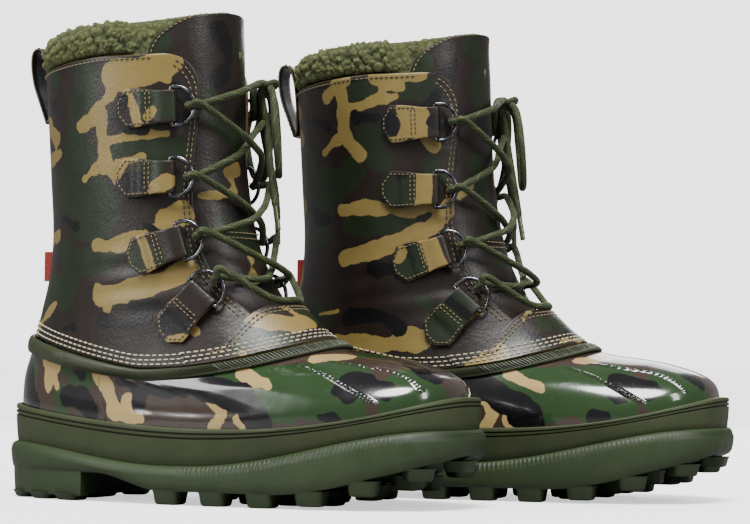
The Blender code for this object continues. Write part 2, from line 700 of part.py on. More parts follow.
def lace_route(seats, knot_hand):
    """The whole lace from one tip to the other: end, loop, lacing, loop, end.

    knot_hand is the side that the bow hangs on: +1 for the outer side, -1 for the inner.
    """
    mirror = -knot_hand

    def knot_point(across, down, out):
        """A point by the knot: across towards the back, down the boot, and off the leather."""
        degrees = KNOT_ANGLE - math.degrees(across / 0.055)
        return over_skin(degrees * mirror, KNOT_HEIGHT - down, KNOT_OUT + out)


    route = [knot_point(*p) for p in reversed(END_NEAR)]
    route += [knot_point(*p) for p in reversed(BOW_NEAR)]
    route += [knot_point(-0.008, 0.000, -0.001)]
    route += [over_skin(-12 * mirror, 0.2590, 0.0008), over_skin(10 * mirror, 0.2530, 0.0008)]
    hand = mirror
    for row in range(4):
        route += ring_turn(seats[hand][row], from_over=False)
        if row < 3:
            low = RING_HEIGHTS[row] * 0.5 + RING_HEIGHTS[row + 1] * 0.5
            for a, mix in ((14, 0.22), (0, 0.0), (-14, -0.22)):
                z = low + (RING_HEIGHTS[row] - RING_HEIGHTS[row + 1]) * mix * 0.8
                route.append(over_skin(a * hand, z, 0.0058))
            hand = -hand
    route += [over_skin(20 * hand, 0.1235, 0.0046), over_skin(0, 0.1225, 0.0040), over_skin(-20 * hand, 0.1235, 0.0046)]
    hand = -hand
    for row in range(3, -1, -1):
        route += ring_turn(seats[hand][row], from_over=True)
        if row > 0:
            low = RING_HEIGHTS[row] * 0.5 + RING_HEIGHTS[row - 1] * 0.5
            for a, mix in ((14, -0.22), (0, 0.0), (-14, 0.22)):
                z = low + (RING_HEIGHTS[row - 1] - RING_HEIGHTS[row]) * mix * 0.8
                route.append(over_skin(a * hand, z, 0.0005))
            hand = -hand
    route += [knot_point(-0.004, 0.006, -0.0052), knot_point(0.0005, 0.000, -0.0015)]
    route += [knot_point(*p) for p in BOW_FAR]
    route += [knot_point(*p) for p in END_FAR]
    return route


def add_lace(boot, seats):
    """The lace; the bow of either boot hangs on its +Y side."""
    points, length = smooth_route(lace_route(seats, knot_hand=boot.side), 0.0160)
    world = boot.place(points)
    curve = bpy.data.curves.new(f"lace_{boot.name}", "CURVE")
    curve.dimensions = "3D"
    curve.bevel_depth = LACE_RADIUS
    curve.bevel_resolution = 2
    curve.use_fill_caps = True
    spline = curve.splines.new("POLY")
    spline.points.add(len(world) - 1)
    for point, place in zip(spline.points, world):
        point.co = (*place, 1.0)
    for point in (spline.points[0], spline.points[-1]):
        point.radius = AGLET_RADIUS / LACE_RADIUS
    curve.materials.append(material("lace"))
    obj = bpy.data.objects.new(f"lace_{boot.name}", curve)
    bpy.context.scene.collection.objects.link(obj)
    print(f"lace {boot.name}: {length:.3f} m, {len(world)} points")


# ---- build -----------------------------------------------------------------------------
def add_boot(name, side):
    boot = Boot(name, side)
    add_outsole(boot)
    add_side_band(boot)
    add_shell(boot)
    add_rim(boot)
    add_footbed(boot)
    add_liner(boot)
    add_cuff(boot)
    add_quarter(boot, "quarter_outer", 1)
    add_quarter(boot, "quarter_inner", -1)
    add_vamp(boot)
    add_tongue(boot)
    add_heel_loop(boot)
    add_side_tape(boot)
    seats = {}
    for hand, label in ((1, "outer"), (-1, "inner")):
        seats[hand] = [RingSeat(row, hand) for row in range(4)]
        for row, seat in enumerate(seats[hand], start=1):
            add_tab(boot, seat, f"ring_tab_{label}_{row}")
            add_d_ring(boot, seat, f"d_ring_{label}_{row}")
    add_lace(boot, seats)


clear_scene()
add_boot("right", -1)
add_boot("left", 1)
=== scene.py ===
"""Looks for the pair of insulated pac boots: leather, rubber, lace, fleece and stitching.

Every surface is drawn over the same skin as the CAD: a closed plan curve at each level,
in a boot frame with x forward from the back of the sole, y towards the outer side, z up.
"""

import math

import bmesh
import bpy
import numpy as np
from mathutils import Matrix, Vector, kdtree


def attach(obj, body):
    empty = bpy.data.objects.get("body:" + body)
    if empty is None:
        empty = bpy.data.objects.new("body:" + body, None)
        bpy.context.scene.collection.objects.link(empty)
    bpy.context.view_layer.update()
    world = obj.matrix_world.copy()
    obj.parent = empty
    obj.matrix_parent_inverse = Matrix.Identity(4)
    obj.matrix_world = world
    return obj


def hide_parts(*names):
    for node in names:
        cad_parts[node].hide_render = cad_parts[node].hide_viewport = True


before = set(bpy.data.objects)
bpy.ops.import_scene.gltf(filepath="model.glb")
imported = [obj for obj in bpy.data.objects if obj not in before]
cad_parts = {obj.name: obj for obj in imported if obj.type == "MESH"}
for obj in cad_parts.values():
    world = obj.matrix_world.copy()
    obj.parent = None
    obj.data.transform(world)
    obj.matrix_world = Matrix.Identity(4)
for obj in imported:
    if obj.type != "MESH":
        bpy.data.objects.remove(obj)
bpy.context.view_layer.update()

# ---- driving dimensions, as the CAD has them -------------------------------------------
SOLE_LENGTH = 0.318
SOLE_HALF_WIDTH = 0.060
LEFT_FORWARD = 0.106
BOOT_SPACING = 0.140
LEFT_TOE_OUT = math.radians(5.0)
CENTRE_X = 0.2115
CENTRE_Y = 0.0799

LEATHER = 0.0020
LUG_HEIGHT = 0.0085
HEEL_LENGTH = 0.076
HEEL_PITCH = 0.0235
FORE_PITCH = 0.0320

RING_WIRE = 0.00125
RING_DEPTH = 0.0145
RING_HEIGHTS = (0.2425, 0.199, 0.159, 0.127)
RING_ANGLES = (54.0, 57.0, 57.0, 53.0)
RING_SLOPES = (0.0, 0.0, 16.0, 42.0)
RING_LIFT = math.radians(12.0)

TAB_LENGTH = 0.036
TAB_HALF_WIDTH = 0.0121
TAB_FOLD_HALF_WIDTH = 0.0098
TAB_TIP_HALF_WIDTH = 0.0042
STRAP = 0.0016
BAR_HEIGHT = 0.0040

LACE_RADIUS = 0.0021
LACE_CLEAR = LACE_RADIUS + RING_WIRE + 0.0007

SKIN = (
    (0.0095, 0.3065, 0.0550, 2.6, 0.16, 0.0390, 0.0280, 0.0520),
    (0.0075, 0.3090, 0.0570, 2.6, 0.16, 0.0595, 0.0465, 0.0670),
    (0.0080, 0.3020, 0.0570, 2.5, 0.15, 0.0740, 0.0570, 0.0790),
    (0.0110, 0.2740, 0.0562, 2.3, 0.11, 0.0885, 0.0685, 0.0885),
    (0.0145, 0.2260, 0.0542, 2.1, 0.07, 0.1015, 0.0795, 0.0970),
    (0.0195, 0.1985, 0.0520, 2.0, 0.04, 0.1200, 0.1070, 0.1175),
    (0.0255, 0.1810, 0.0508, 2.0, 0.02, 0.1420, 0.1370, 0.1400),
    (0.0280, 0.1695, 0.0508, 2.0, 0.00, 0.1680, 0.1660, 0.1670),
    (0.0265, 0.1625, 0.0518, 2.0, 0.00, 0.2020, 0.2020, 0.2030),
    (0.0245, 0.1595, 0.0530, 2.0, 0.00, 0.2380, 0.2410, 0.2440),
    (0.0225, 0.1585, 0.0540, 2.0, 0.00, 0.2670, 0.2740, 0.2790),
    (0.0210, 0.1575, 0.0535, 2.0, 0.00, 0.2870, 0.2945, 0.3040),
)
# Levels of the skin, which count its rows.
RIM_TOP = 4.10
LEATHER_FOOT = 4.135
SHAFT_TOP = 10.0
# Lengths, and heights over the skin.
RIM_HEIGHT = 0.0105
VAMP_HEIGHT = 0.0010 + LEATHER
TONGUE_HEIGHT = -0.0038
LUG_INSET = 0.0105
SHELL_GIRTH = 0.74
# From the back seam to a quarter's edge, as a share of a turn.
SEAM_TURN = 0.0016


# ---- geometry of the skin --------------------------------------------------------------
class Boot:
    def __init__(self, name, side):
        self.name = name
        self.side = side
        self.body = f"{name}_boot"
        self.ahead = LEFT_FORWARD if side > 0 else 0.0
        self.turn = LEFT_TOE_OUT if side > 0 else 0.0

    def place(self, points):
        points = np.asarray(points, float)
        x, y = points[..., 0], points[..., 1] * self.side
        c, s = math.cos(self.turn), math.sin(self.turn)
        shift = BOOT_SPACING if self.side > 0 else 0.0
        return np.stack(
            [c * x - s * y + self.ahead - CENTRE_X, s * x + c * y + shift - CENTRE_Y, points[..., 2]],
            axis=-1,
        )


def unit(vectors):
    return vectors / np.linalg.norm(vectors, axis=-1, keepdims=True)


def arc_length(path):
    """The distance along a path at each of its points."""
    return np.concatenate([[0], np.cumsum(np.linalg.norm(np.diff(path, axis=0), axis=1))])


def at_arc(places, arc, path):
    """Points of a path at given distances along it."""
    return np.column_stack([np.interp(places, arc, column) for column in path.T])


def blend_rows(table, position):
    """A smooth curve through a table's rows; position counts rows and may lie between them."""
    rows = np.asarray(table, float)
    position = np.clip(np.asarray(position, float), 0, len(rows) - 1)
    low = np.clip(np.floor(position).astype(int), 0, len(rows) - 2)
    t = (position - low)[..., None]
    p0, p1 = rows[np.clip(low - 1, 0, None)], rows[low]
    p2, p3 = rows[low + 1], rows[np.clip(low + 2, None, len(rows) - 1)]
    return p1 + 0.5 * t * (
        p2 - p0 + t * (2 * p0 - 5 * p1 + 4 * p2 - p3 + t * (3 * (p1 - p2) + p3 - p0))
    )


def ring_point(u, level):
    """A point of the closed plan curve at one level, u of a turn from the back."""
    back, front, half, square, full, z_back, z_side, z_front = np.moveaxis(level, -1, 0)
    c, s = -np.cos(2 * np.pi * u), np.sin(2 * np.pi * u)
    reach = np.sign(c) * np.abs(c) ** (2 / square)
    x = (back + front) / 2 + (front - back) / 2 * reach
    y = half * (1 + full * c) * np.sign(s) * np.abs(s) ** (2 / square)
    z = z_side + (z_front - z_side) * np.maximum(c, 0) ** 2
    z = z + (z_back - z_side) * np.maximum(-c, 0) ** 1.2
    return np.stack([x, y, z], axis=-1)


def skin_and_normal(u, v, height=0.0):
    """Points at u of a turn and level v, raised by height, and the skin's outward direction."""
    u, v, height = np.broadcast_arrays(*(np.asarray(a, float) for a in (u, v, height)))
    v = np.clip(v, 0, len(SKIN) - 1)
    step = 1e-3
    here = ring_point(u, blend_rows(SKIN, v))
    low, high = np.clip(v - step, 0, None), np.clip(v + step, None, len(SKIN) - 1)
    around = ring_point(u + step, blend_rows(SKIN, v)) - ring_point(u - step, blend_rows(SKIN, v))
    upward = ring_point(u, blend_rows(SKIN, high)) - ring_point(u, blend_rows(SKIN, low))
    normal = unit(np.cross(upward, around))
    outward = here - np.array([0.10, 0.0, 0.06])
    flip = np.where((normal[..., :2] * outward[..., :2]).sum(-1) < 0, -1.0, 1.0)
    normal = normal * flip[..., None]
    return here + normal * height[..., None], normal


def skin(u, v, height=0.0):
    return skin_and_normal(u, v, height)[0]


def level_at(u, z):
    """The skin's level at height z; u and z may be arrays."""
    u, z = np.broadcast_arrays(np.asarray(u, float), np.asarray(z, float))
    low, high = np.zeros(u.shape), np.full(u.shape, float(len(SKIN) - 1))
    for _ in range(30):
        middle = (low + high) / 2
        under = ring_point(u, blend_rows(SKIN, middle))[..., 2] < z
        low, high = np.where(under, middle, low), np.where(under, high, middle)
    return (low + high) / 2


def onto_skin(points, height):
    """Points of the skin straight under points near it, raised by height."""
    points = np.asarray(points, float)
    v = np.full(points.shape[:-1], 7.0)
    u = np.where(points[..., 1] > 0, 0.25, 0.75)
    for _ in range(14):
        here = skin(u, v)
        du = (skin(u + 1e-4, v) - here) / 1e-4
        dv = (skin(u, v + 1e-3) - here) / 1e-3
        away = points - here
        a, b, d = (du * du).sum(-1), (du * dv).sum(-1), (dv * dv).sum(-1)
        p, q = (away * du).sum(-1), (away * dv).sum(-1)
        size = a * d - b * b
        u = u + np.clip((p * d - q * b) / size, -0.1, 0.1)
        v = np.clip(v + (q * a - p * b) / size, 3.0, 10.9)
    return skin(u, v, height)


def angle_u(degrees):
    return 0.5 - np.asarray(degrees, float) / 360


def ramp(x, start, end):
    t = np.clip((np.asarray(x, float) - start) / (end - start), 0, 1)
    return t * t * (3 - 2 * t)


def ripple(x, y, seed=0.0):
    """Smooth noise from -1 to 1: a few crossed waves."""
    waves = ((1.0, 0.35, 0.0), (-0.55, 0.95, 1.9), (0.35, -1.25, 4.1), (1.45, 0.85, 2.7), (-1.3, 1.1, 5.3))
    total = 0.0
    for k, (ax, ay, phase) in enumerate(waves):
        total = total + np.sin(ax * x + ay * y + phase + seed * (1.7 + k)) / (1 + 0.25 * k)
    return total / 3.2


# ---- mesh building ---------------------------------------------------------------------
def new_piece(boot, name, points, faces, material, slot, body=None, smooth=38, values=None, replaces=()):
    """A piece from boot-frame points; values are per-point attributes."""
    world = boot.place(points)
    mesh = bpy.data.meshes.new(f"{name}_{boot.name}")
    mesh.from_pydata(world.tolist(), [], [tuple(int(i) for i in f) for f in faces])
    if boot.side < 0:
        mesh.flip_normals()
    for key, data in (values or {}).items():
        layer = mesh.attributes.new(key, "FLOAT", "POINT")
        layer.data.foreach_set("value", np.asarray(data, np.float32).reshape(-1))
    mesh.materials.append(material)
    obj = bpy.data.objects.new(f"{name}_{boot.name}", mesh)
    bpy.context.scene.collection.objects.link(obj)
    mesh.shade_smooth()
    if smooth:
        mesh.set_sharp_from_angle(angle=math.radians(smooth))
    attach(obj, body or boot.body)
    if replaces:
        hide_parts(*(f"{node}_{boot.name}" for node in replaces))
    return obj


def closed_piece(boot, *args, **kwargs):
    """A piece of closed shells, whose faces are turned to look outwards."""
    obj = new_piece(boot, *args, **kwargs)
    work = bmesh.new()
    work.from_mesh(obj.data)
    bmesh.ops.recalc_face_normals(work, faces=work.faces)
    work.to_mesh(obj.data)
    work.free()
    return obj


def tube_faces(rows, count, loop=False, caps=False):
    """Faces of stacked closed rings, wound to face outwards in a boot frame."""
    i = np.arange(count)
    j = (i + 1) % count
    faces = []
    for k in range(rows if loop else rows - 1):
        a, b = k * count, ((k + 1) % rows) * count
        faces.append(np.column_stack([a + i, a + j, b + j, b + i]))
    result = [tuple(f) for f in np.concatenate(faces)]
    if caps:
        result.append(tuple(range(count - 1, -1, -1)))
        result.append(tuple((rows - 1) * count + n for n in range(count)))
    return result


def strip_cap(count, start, flip=False):
    """A flat cap over a ring whose points run round from the back, in strips across it."""
    faces = []
    for i in range(count // 2):
        unique = list(dict.fromkeys([i, i + 1, count - i - 1, (count - i) % count]))
        face = tuple(start + n for n in unique)
        faces.append(face[::-1] if flip else face)
    return faces


def grid_faces(rows, columns, start=0, flip=False):
    r, c = np.meshgrid(np.arange(rows - 1), np.arange(columns - 1), indexing="ij")
    a = (r * columns + c).reshape(-1) + start
    quads = np.column_stack([a, a + 1, a + columns + 1, a + columns])
    return [tuple(q) for q in (quads[:, ::-1] if flip else quads)]


def border(rows, columns):
    """The grid points round a patch's edge, in order."""
    edge = list(range(columns))
    edge += [r * columns + columns - 1 for r in range(1, rows)]
    edge += [(rows - 1) * columns + c for c in range(columns - 2, -1, -1)]
    return edge + [r * columns for r in range(rows - 2, 0, -1)]


def sheet(outer, inner):
    """Points and faces of a patch with thickness."""
    rows, columns = outer.shape[:2]
    shift = rows * columns
    points = np.concatenate([outer.reshape(-1, 3), inner.reshape(-1, 3)])
    faces = grid_faces(rows, columns) + grid_faces(rows, columns, shift, flip=True)
    rim = border(rows, columns)
    faces += [(b, a, shift + a, shift + b) for a, b in zip(rim, rim[1:] + rim[:1])]
    return points, faces


def with_edges(steps, margin):
    """Even steps from 0 to 1 with a narrow first and last one, for a rounded edge."""
    even = np.linspace(margin, 1 - margin, steps)
    return np.concatenate([[0.0, margin * 0.35], even, [1 - margin * 0.35, 1.0]])


def tube(path, radius, sides):
    """Rings round a path, with no twist; radius may be one number or one per point."""
    path = np.asarray(path, float)
    along = unit(np.gradient(path, axis=0))
    side = np.cross(along[0], (0.0, 0.0, 1.0))
    if np.linalg.norm(side) < 1e-6:
        side = np.cross(along[0], (1.0, 0.0, 0.0))
    radius = np.broadcast_to(np.asarray(radius, float), (len(path),))
    turns = 2 * np.pi * np.arange(sides) / sides
    rings = []
    for i in range(len(path)):
        side = unit(side - along[i] * (side @ along[i]))
        up = np.cross(along[i], side)
        rings.append(path[i] + radius[i] * (np.cos(turns)[:, None] * side + np.sin(turns)[:, None] * up))
    return np.concatenate(rings)


def blend_curve(points, spacing):
    """A smooth curve through given points, at even spacing."""
    rows = np.asarray(points, float)
    fine = blend_rows(rows, np.linspace(0, len(rows) - 1, 40 * len(rows)))
    arc = arc_length(fine)
    places = np.linspace(0, arc[-1], max(2, int(arc[-1] / spacing)))
    return at_arc(places, arc, fine), float(arc[-1])


def merge(parts):
    """Several (points, faces) as one."""
    points, faces, start = [], [], 0
    for p, f in parts:
        points.append(p)
        faces += [tuple(n + start for n in face) for face in f]
        start += len(p)
    return np.concatenate(points), faces


# ---- materials -------------------------------------------------------------------------
def srgb(red, green, blue):
    """A linear colour from the 0 to 255 values that a colour picker shows."""
    channels = []
    for value in (red, green, blue):
        c = value / 255
        channels.append(c / 12.92 if c <= 0.04045 else ((c + 0.055) / 1.055) ** 2.4)
    return (*channels, 1.0)


class Nodes:
    """Short names for building one material's nodes."""

    def __init__(self, name):
        self.material = bpy.data.materials.new(name)
        self.material.use_nodes = True
        self.tree = self.material.node_tree
        self.shader = self.tree.nodes["Principled BSDF"]

    def make(self, kind, **inputs):
        node = self.tree.nodes.new(kind)
        for key, value in inputs.items():
            name = key.replace("_", " ")
            if name in node.inputs:
                self.feed(node.inputs[name], value)
            else:
                setattr(node, key, value)
        return node

    def feed(self, socket, value):
        if isinstance(value, bpy.types.NodeSocket):
            self.tree.links.new(value, socket)
        else:
            socket.default_value = value

    def set(self, **inputs):
        for key, value in inputs.items():
            self.feed(self.shader.inputs[key.replace("_", " ")], value)

    def value(self, name):
        node = self.make("ShaderNodeAttribute", attribute_name=name)
        return node.outputs["Fac"]

    def place(self):
        return self.make("ShaderNodeTexCoord").outputs["Object"]

    def math(self, operation, a, b):
        node = self.tree.nodes.new("ShaderNodeMath")
        node.operation = operation
        self.feed(node.inputs[0], a)
        self.feed(node.inputs[1], b)
        return node.outputs[0]

    def step(self, value, low, high, start=0.0, end=1.0):
        node = self.make("ShaderNodeMapRange")
        names = ("Value", "From Min", "From Max", "To Min", "To Max")
        for key, number in zip(names, (value, low, high, start, end)):
            self.feed(node.inputs[key], number)
        return node.outputs["Result"]

    def mix(self, factor, a, b, blend="MIX"):
        node = self.tree.nodes.new("ShaderNodeMix")
        node.data_type, node.blend_type = "RGBA", blend
        self.feed(node.inputs["Factor"], factor)
        self.feed(node.inputs[6], a)
        self.feed(node.inputs[7], b)
        return node.outputs[2]

    def noise(self, scale, detail=3.0, rough=0.55, distortion=0.0):
        node = self.tree.nodes.new("ShaderNodeTexNoise")
        self.feed(node.inputs["Vector"], self.place())
        names = ("Scale", "Detail", "Roughness", "Distortion")
        for key, number in zip(names, (scale, detail, rough, distortion)):
            node.inputs[key].default_value = number
        return node.outputs["Fac"]

    def cells(self, scale, feature="F1"):
        node = self.tree.nodes.new("ShaderNodeTexVoronoi")
        node.feature = feature
        self.feed(node.inputs["Vector"], self.place())
        node.inputs["Scale"].default_value = scale
        return node.outputs["Distance"]

    def bump(self, height, distance, strength=1.0, below=None):
        node = self.tree.nodes.new("ShaderNodeBump")
        node.inputs["Strength"].default_value = strength
        node.inputs["Distance"].default_value = distance
        self.feed(node.inputs["Height"], height)
        if below:
            self.feed(node.inputs["Normal"], below)
        return node.outputs["Normal"]


def camo_colour(nodes, brown, green, tan, black):
    """The four camouflage colours from the pieces' own distance values."""
    edge = 0.00022
    wobble = nodes.step(nodes.noise(420.0, 2.0), 0.3, 0.7, -0.00035, 0.00035)
    colour = brown
    for name, shade in (("green", green), ("tan", tan), ("black", black)):
        field = nodes.math("ADD", nodes.value(name), wobble)
        colour = nodes.mix(nodes.step(field, -edge, edge), colour, shade)
    return colour


def leather_material():
    n = Nodes("camo_leather")
    colour = camo_colour(n, srgb(27, 20, 16), srgb(22, 31, 15), srgb(112, 96, 52), srgb(7, 7, 8))
    cloudy = n.step(n.noise(36.0, 4.0), 0.3, 0.7, 0.86, 1.10)
    colour = n.mix(1.0, colour, cloudy, "MULTIPLY")
    pores = n.cells(1500.0)
    colour = n.mix(n.step(pores, 0.0, 0.22, 0.16, 0.0), colour, srgb(18, 16, 14))
    raw = n.math("MULTIPLY", n.value("rim"), n.step(n.noise(260.0, 3.0), 0.25, 0.75, 0.55, 1.0))
    colour = n.mix(raw, colour, srgb(132, 104, 58))
    grain = n.cells(620.0, "SMOOTH_F1")
    creases = n.noise(95.0, 6.0, 0.62, distortion=0.6)
    normal = n.bump(creases, 0.0006, 0.35)
    normal = n.bump(grain, 0.0003, 0.30, below=normal)
    rough = n.step(n.noise(60.0, 5.0), 0.3, 0.7, 0.33, 0.47)
    rough = n.math("ADD", rough, n.math("MULTIPLY", n.value("rim"), 0.35))
    n.set(Base_Color=colour, Roughness=rough, Normal=normal)
    n.set(Specular_IOR_Level=0.32, Coat_Weight=0.04, Coat_Roughness=0.25)
    return n.material


def shell_material():
    n = Nodes("camo_rubber")
    colour = camo_colour(n, srgb(50, 39, 33), srgb(31, 52, 25), srgb(148, 126, 82), srgb(9, 8, 11))
    cloudy = n.step(n.noise(26.0, 4.0), 0.3, 0.7, 0.90, 1.08)
    colour = n.mix(1.0, colour, cloudy, "MULTIPLY")
    # Painted shade: the seam value darkens the shell beside the toe stitches and along the side lap's step.
    colour = n.mix(n.math("MULTIPLY", n.value("seam"), 0.55), colour, srgb(20, 20, 20))
    scuff = n.step(n.noise(180.0, 6.0, 0.7), 0.62, 0.78, 0.0, 0.16)
    colour = n.mix(scuff, colour, srgb(112, 108, 94))
    rough = n.step(n.noise(44.0, 5.0), 0.3, 0.75, 0.13, 0.24)
    normal = n.bump(n.noise(30.0, 3.0), 0.0016, 0.16)
    normal = n.bump(n.noise(900.0, 2.0), 0.0001, 0.25, below=normal)
    rough = n.math("ADD", rough, n.math("MULTIPLY", scuff, 0.9))
    n.set(Base_Color=colour, Roughness=rough, Normal=normal)
    n.set(Specular_IOR_Level=0.4, Coat_Weight=0.6, Coat_Roughness=0.07)
    return n.material


def rubber_material(name, base, dust, rough_low, rough_high):
    """Matt moulded rubber, dustier where it is open, with painted shade darkening its hollows."""
    n = Nodes(name)
    colour = n.mix(n.step(n.noise(40.0, 6.0, 0.6), 0.35, 0.7, 0.0, 0.42), base, dust)
    colour = n.mix(n.step(n.noise(1400.0, 2.0), 0.3, 0.7, 0.0, 0.10), colour, srgb(14, 18, 10))
    # Painted shade: the groove value darkens the rubber in its grooves and rib valleys.
    colour = n.mix(n.math("MULTIPLY", n.value("groove"), 0.72), colour, srgb(12, 16, 8))
    normal = n.bump(n.noise(700.0, 3.0), 0.00018, 0.35)
    normal = n.bump(n.noise(60.0, 3.0), 0.0006, 0.12, below=normal)
    rough = n.step(n.noise(75.0, 4.0), 0.3, 0.7, rough_low, rough_high)
    n.set(Base_Color=colour, Roughness=rough, Normal=normal)
    n.set(Specular_IOR_Level=0.35)
    return n.material


def fleece_material():
    n = Nodes("fleece")
    tip = n.value("tip")
    deep_shade = n.mix(n.noise(120.0, 3.0), srgb(30, 37, 14), srgb(48, 56, 25))
    light = n.mix(n.noise(210.0, 3.0), srgb(82, 89, 47), srgb(116, 119, 74))
    # Painted shade: the fleece is darker down between the curls and paler on their tops, by the tip value.
    colour = n.mix(n.step(tip, 0.25, 1.0), deep_shade, light)
    fibre = n.noise(2400.0, 4.0, 0.7, distortion=1.5)
    normal = n.bump(fibre, 0.0009, 0.8)
    n.set(Base_Color=colour, Roughness=0.95, Normal=normal)
    n.set(Sheen_Weight=0.18, Sheen_Roughness=0.45, Sheen_Tint=srgb(150, 156, 104))
    return n.material


def felt_material():
    n = Nodes("felt")
    colour = n.mix(n.noise(160.0, 5.0, 0.7), srgb(62, 66, 46), srgb(90, 94, 68))
    colour = n.mix(n.step(n.noise(1900.0, 3.0, 0.8), 0.55, 0.7, 0.0, 0.4), colour, srgb(170, 172, 148))
    normal = n.bump(n.noise(1300.0, 5.0, 0.75, distortion=0.8), 0.0007, 0.7)
    n.set(Base_Color=colour, Roughness=0.96, Normal=normal)
    n.set(Sheen_Weight=0.35, Sheen_Roughness=0.5)
    return n.material


def lace_material():
    n = Nodes("lace_cord")
    strand, fleck = n.value("strand"), n.value("fleck")
    # Painted shade: the cord is darker in the valleys between the braid's strands, by the strand value.
    colour = n.mix(n.step(strand, 0.15, 0.95), srgb(15, 19, 8), srgb(50, 60, 27))
    colour = n.mix(n.math("MULTIPLY", fleck, 0.5), colour, srgb(92, 99, 56))
    normal = n.bump(n.noise(2600.0, 3.0, 0.7), 0.0003, 0.6)
    n.set(Base_Color=colour, Roughness=0.72, Normal=normal)
    n.set(Specular_IOR_Level=0.3, Sheen_Weight=0.1, Sheen_Roughness=0.4)
    return n.material


def steel_material():
    n = Nodes("dark_steel")
    worn = n.step(n.noise(220.0, 5.0, 0.65), 0.45, 0.75)
    colour = n.mix(worn, srgb(66, 66, 70), srgb(146, 146, 150))
    normal = n.bump(n.noise(900.0, 3.0), 0.0001, 0.3)
    rough = n.step(n.noise(300.0, 4.0), 0.3, 0.7, 0.14, 0.30)
    n.set(Base_Color=colour, Metallic=1.0, Roughness=rough, Normal=normal)
    return n.material


def thread_material():
    n = Nodes("thread")
    cream = n.mix(n.noise(520.0, 3.0), srgb(146, 138, 110), srgb(182, 176, 150))
    fawn = n.mix(n.noise(520.0, 3.0), srgb(92, 76, 44), srgb(118, 100, 62))
    colour = n.mix(n.step(n.value("shade"), 0.2, 0.3), cream, fawn)
    colour = n.mix(n.step(n.value("shade"), 0.7, 0.8), colour, srgb(22, 18, 13))
    normal = n.bump(n.noise(4200.0, 2.0, 0.6), 0.0002, 0.6)
    n.set(Base_Color=colour, Roughness=0.66, Normal=normal)
    n.set(Sheen_Weight=0.2)
    return n.material


def webbing_material(name, light, dark):
    n = Nodes(name)
    wave = n.tree.nodes.new("ShaderNodeTexWave")
    wave.bands_direction = "Z"
    wave.inputs["Scale"].default_value = 420.0
    wave.inputs["Distortion"].default_value = 0.8
    n.feed(wave.inputs["Vector"], n.place())
    weave = wave.outputs["Fac"]
    colour = n.mix(weave, dark, light)
    n.set(Base_Color=colour, Roughness=0.82, Normal=n.bump(weave, 0.0004, 0.6), Sheen_Weight=0.05)
    return n.material


def aglet_material():
    n = Nodes("aglet")
    colour = n.mix(n.noise(300.0, 3.0), srgb(44, 52, 30), srgb(72, 82, 48))
    n.set(Base_Color=colour, Roughness=n.step(n.noise(200.0, 2.0), 0.3, 0.7, 0.12, 0.25), Coat_Weight=0.6)
    n.set(Normal=n.bump(n.noise(400.0, 2.0), 0.0002, 0.2))
    return n.material


LEATHER_LOOK = leather_material()
SHELL_LOOK = shell_material()
BAND_LOOK = rubber_material("band_rubber", srgb(44, 52, 27), srgb(58, 66, 38), 0.50, 0.68)
SOLE_LOOK = rubber_material("outsole_rubber", srgb(35, 48, 24), srgb(50, 61, 34), 0.44, 0.62)
RIM_LOOK = rubber_material("rim_rubber", srgb(37, 43, 23), srgb(50, 56, 32), 0.42, 0.58)
FLEECE_LOOK = fleece_material()
FELT_LOOK = felt_material()
LACE_LOOK = lace_material()
STEEL_LOOK = steel_material()
THREAD_LOOK = thread_material()
TAPE_LOOK = webbing_material("side_tape_cloth", srgb(146, 34, 20), srgb(96, 18, 10))
AGLET_LOOK = aglet_material()


# ---- camera, floor and lights ----------------------------------------------------------
CAMERA_TURN = math.radians(25.0)
CAMERA_PITCH = math.radians(2.1)
CAMERA_ROLL = math.radians(0.56)
CAMERA_PIVOT = (-0.0515, -0.0799, 0.0)
CAMERA_DISTANCE = 1.61
CAMERA_ASIDE = 0.082
CAMERA_HEIGHT = 0.0905

# The floor and the backdrop are paler to the camera than the light they give the boots.
FLOOR_GREY, FLOOR_SEEN_GREY, FLOOR_SEEN_GLOW = 0.22, 0.92, 0.9
BACKDROP_LIGHT, BACKDROP_SEEN = 0.28, 3.0
FLOOR_REACH = 30


def aim(obj, position, target, roll=0.0):
    forward = (Vector(target) - Vector(position)).normalized()
    turn = forward.to_track_quat("-Z", "Y").to_matrix().to_4x4() @ Matrix.Rotation(roll, 4, "Z")
    obj.matrix_world = Matrix.Translation(Vector(position)) @ turn


def add_camera():
    """Low, from the right boot's outer side, a little behind square."""
    data = bpy.data.cameras.new("camera")
    data.lens = 124.4
    data.sensor_width = 36.0
    data.clip_start = 0.05
    camera = bpy.data.objects.new("camera", data)
    bpy.context.scene.collection.objects.link(camera)
    c, s = math.cos(CAMERA_TURN), math.sin(CAMERA_TURN)
    right, back = np.array([c, s, 0.0]), np.array([s, -c, 0.0])
    ahead = -back * math.cos(CAMERA_PITCH) + [0.0, 0.0, math.sin(CAMERA_PITCH)]
    position = np.array(CAMERA_PIVOT) + CAMERA_DISTANCE * back + right * CAMERA_ASIDE
    position[2] = CAMERA_HEIGHT
    aim(camera, position, position + ahead, CAMERA_ROLL)
    bpy.context.scene.camera = camera


def add_light(name, position, target, size, power):
    data = bpy.data.lights.new(name, "AREA")
    data.shape, data.size, data.size_y = "RECTANGLE", size[0], size[1]
    data.energy = power
    light = bpy.data.objects.new(name, data)
    bpy.context.scene.collection.objects.link(light)
    aim(light, position, target)


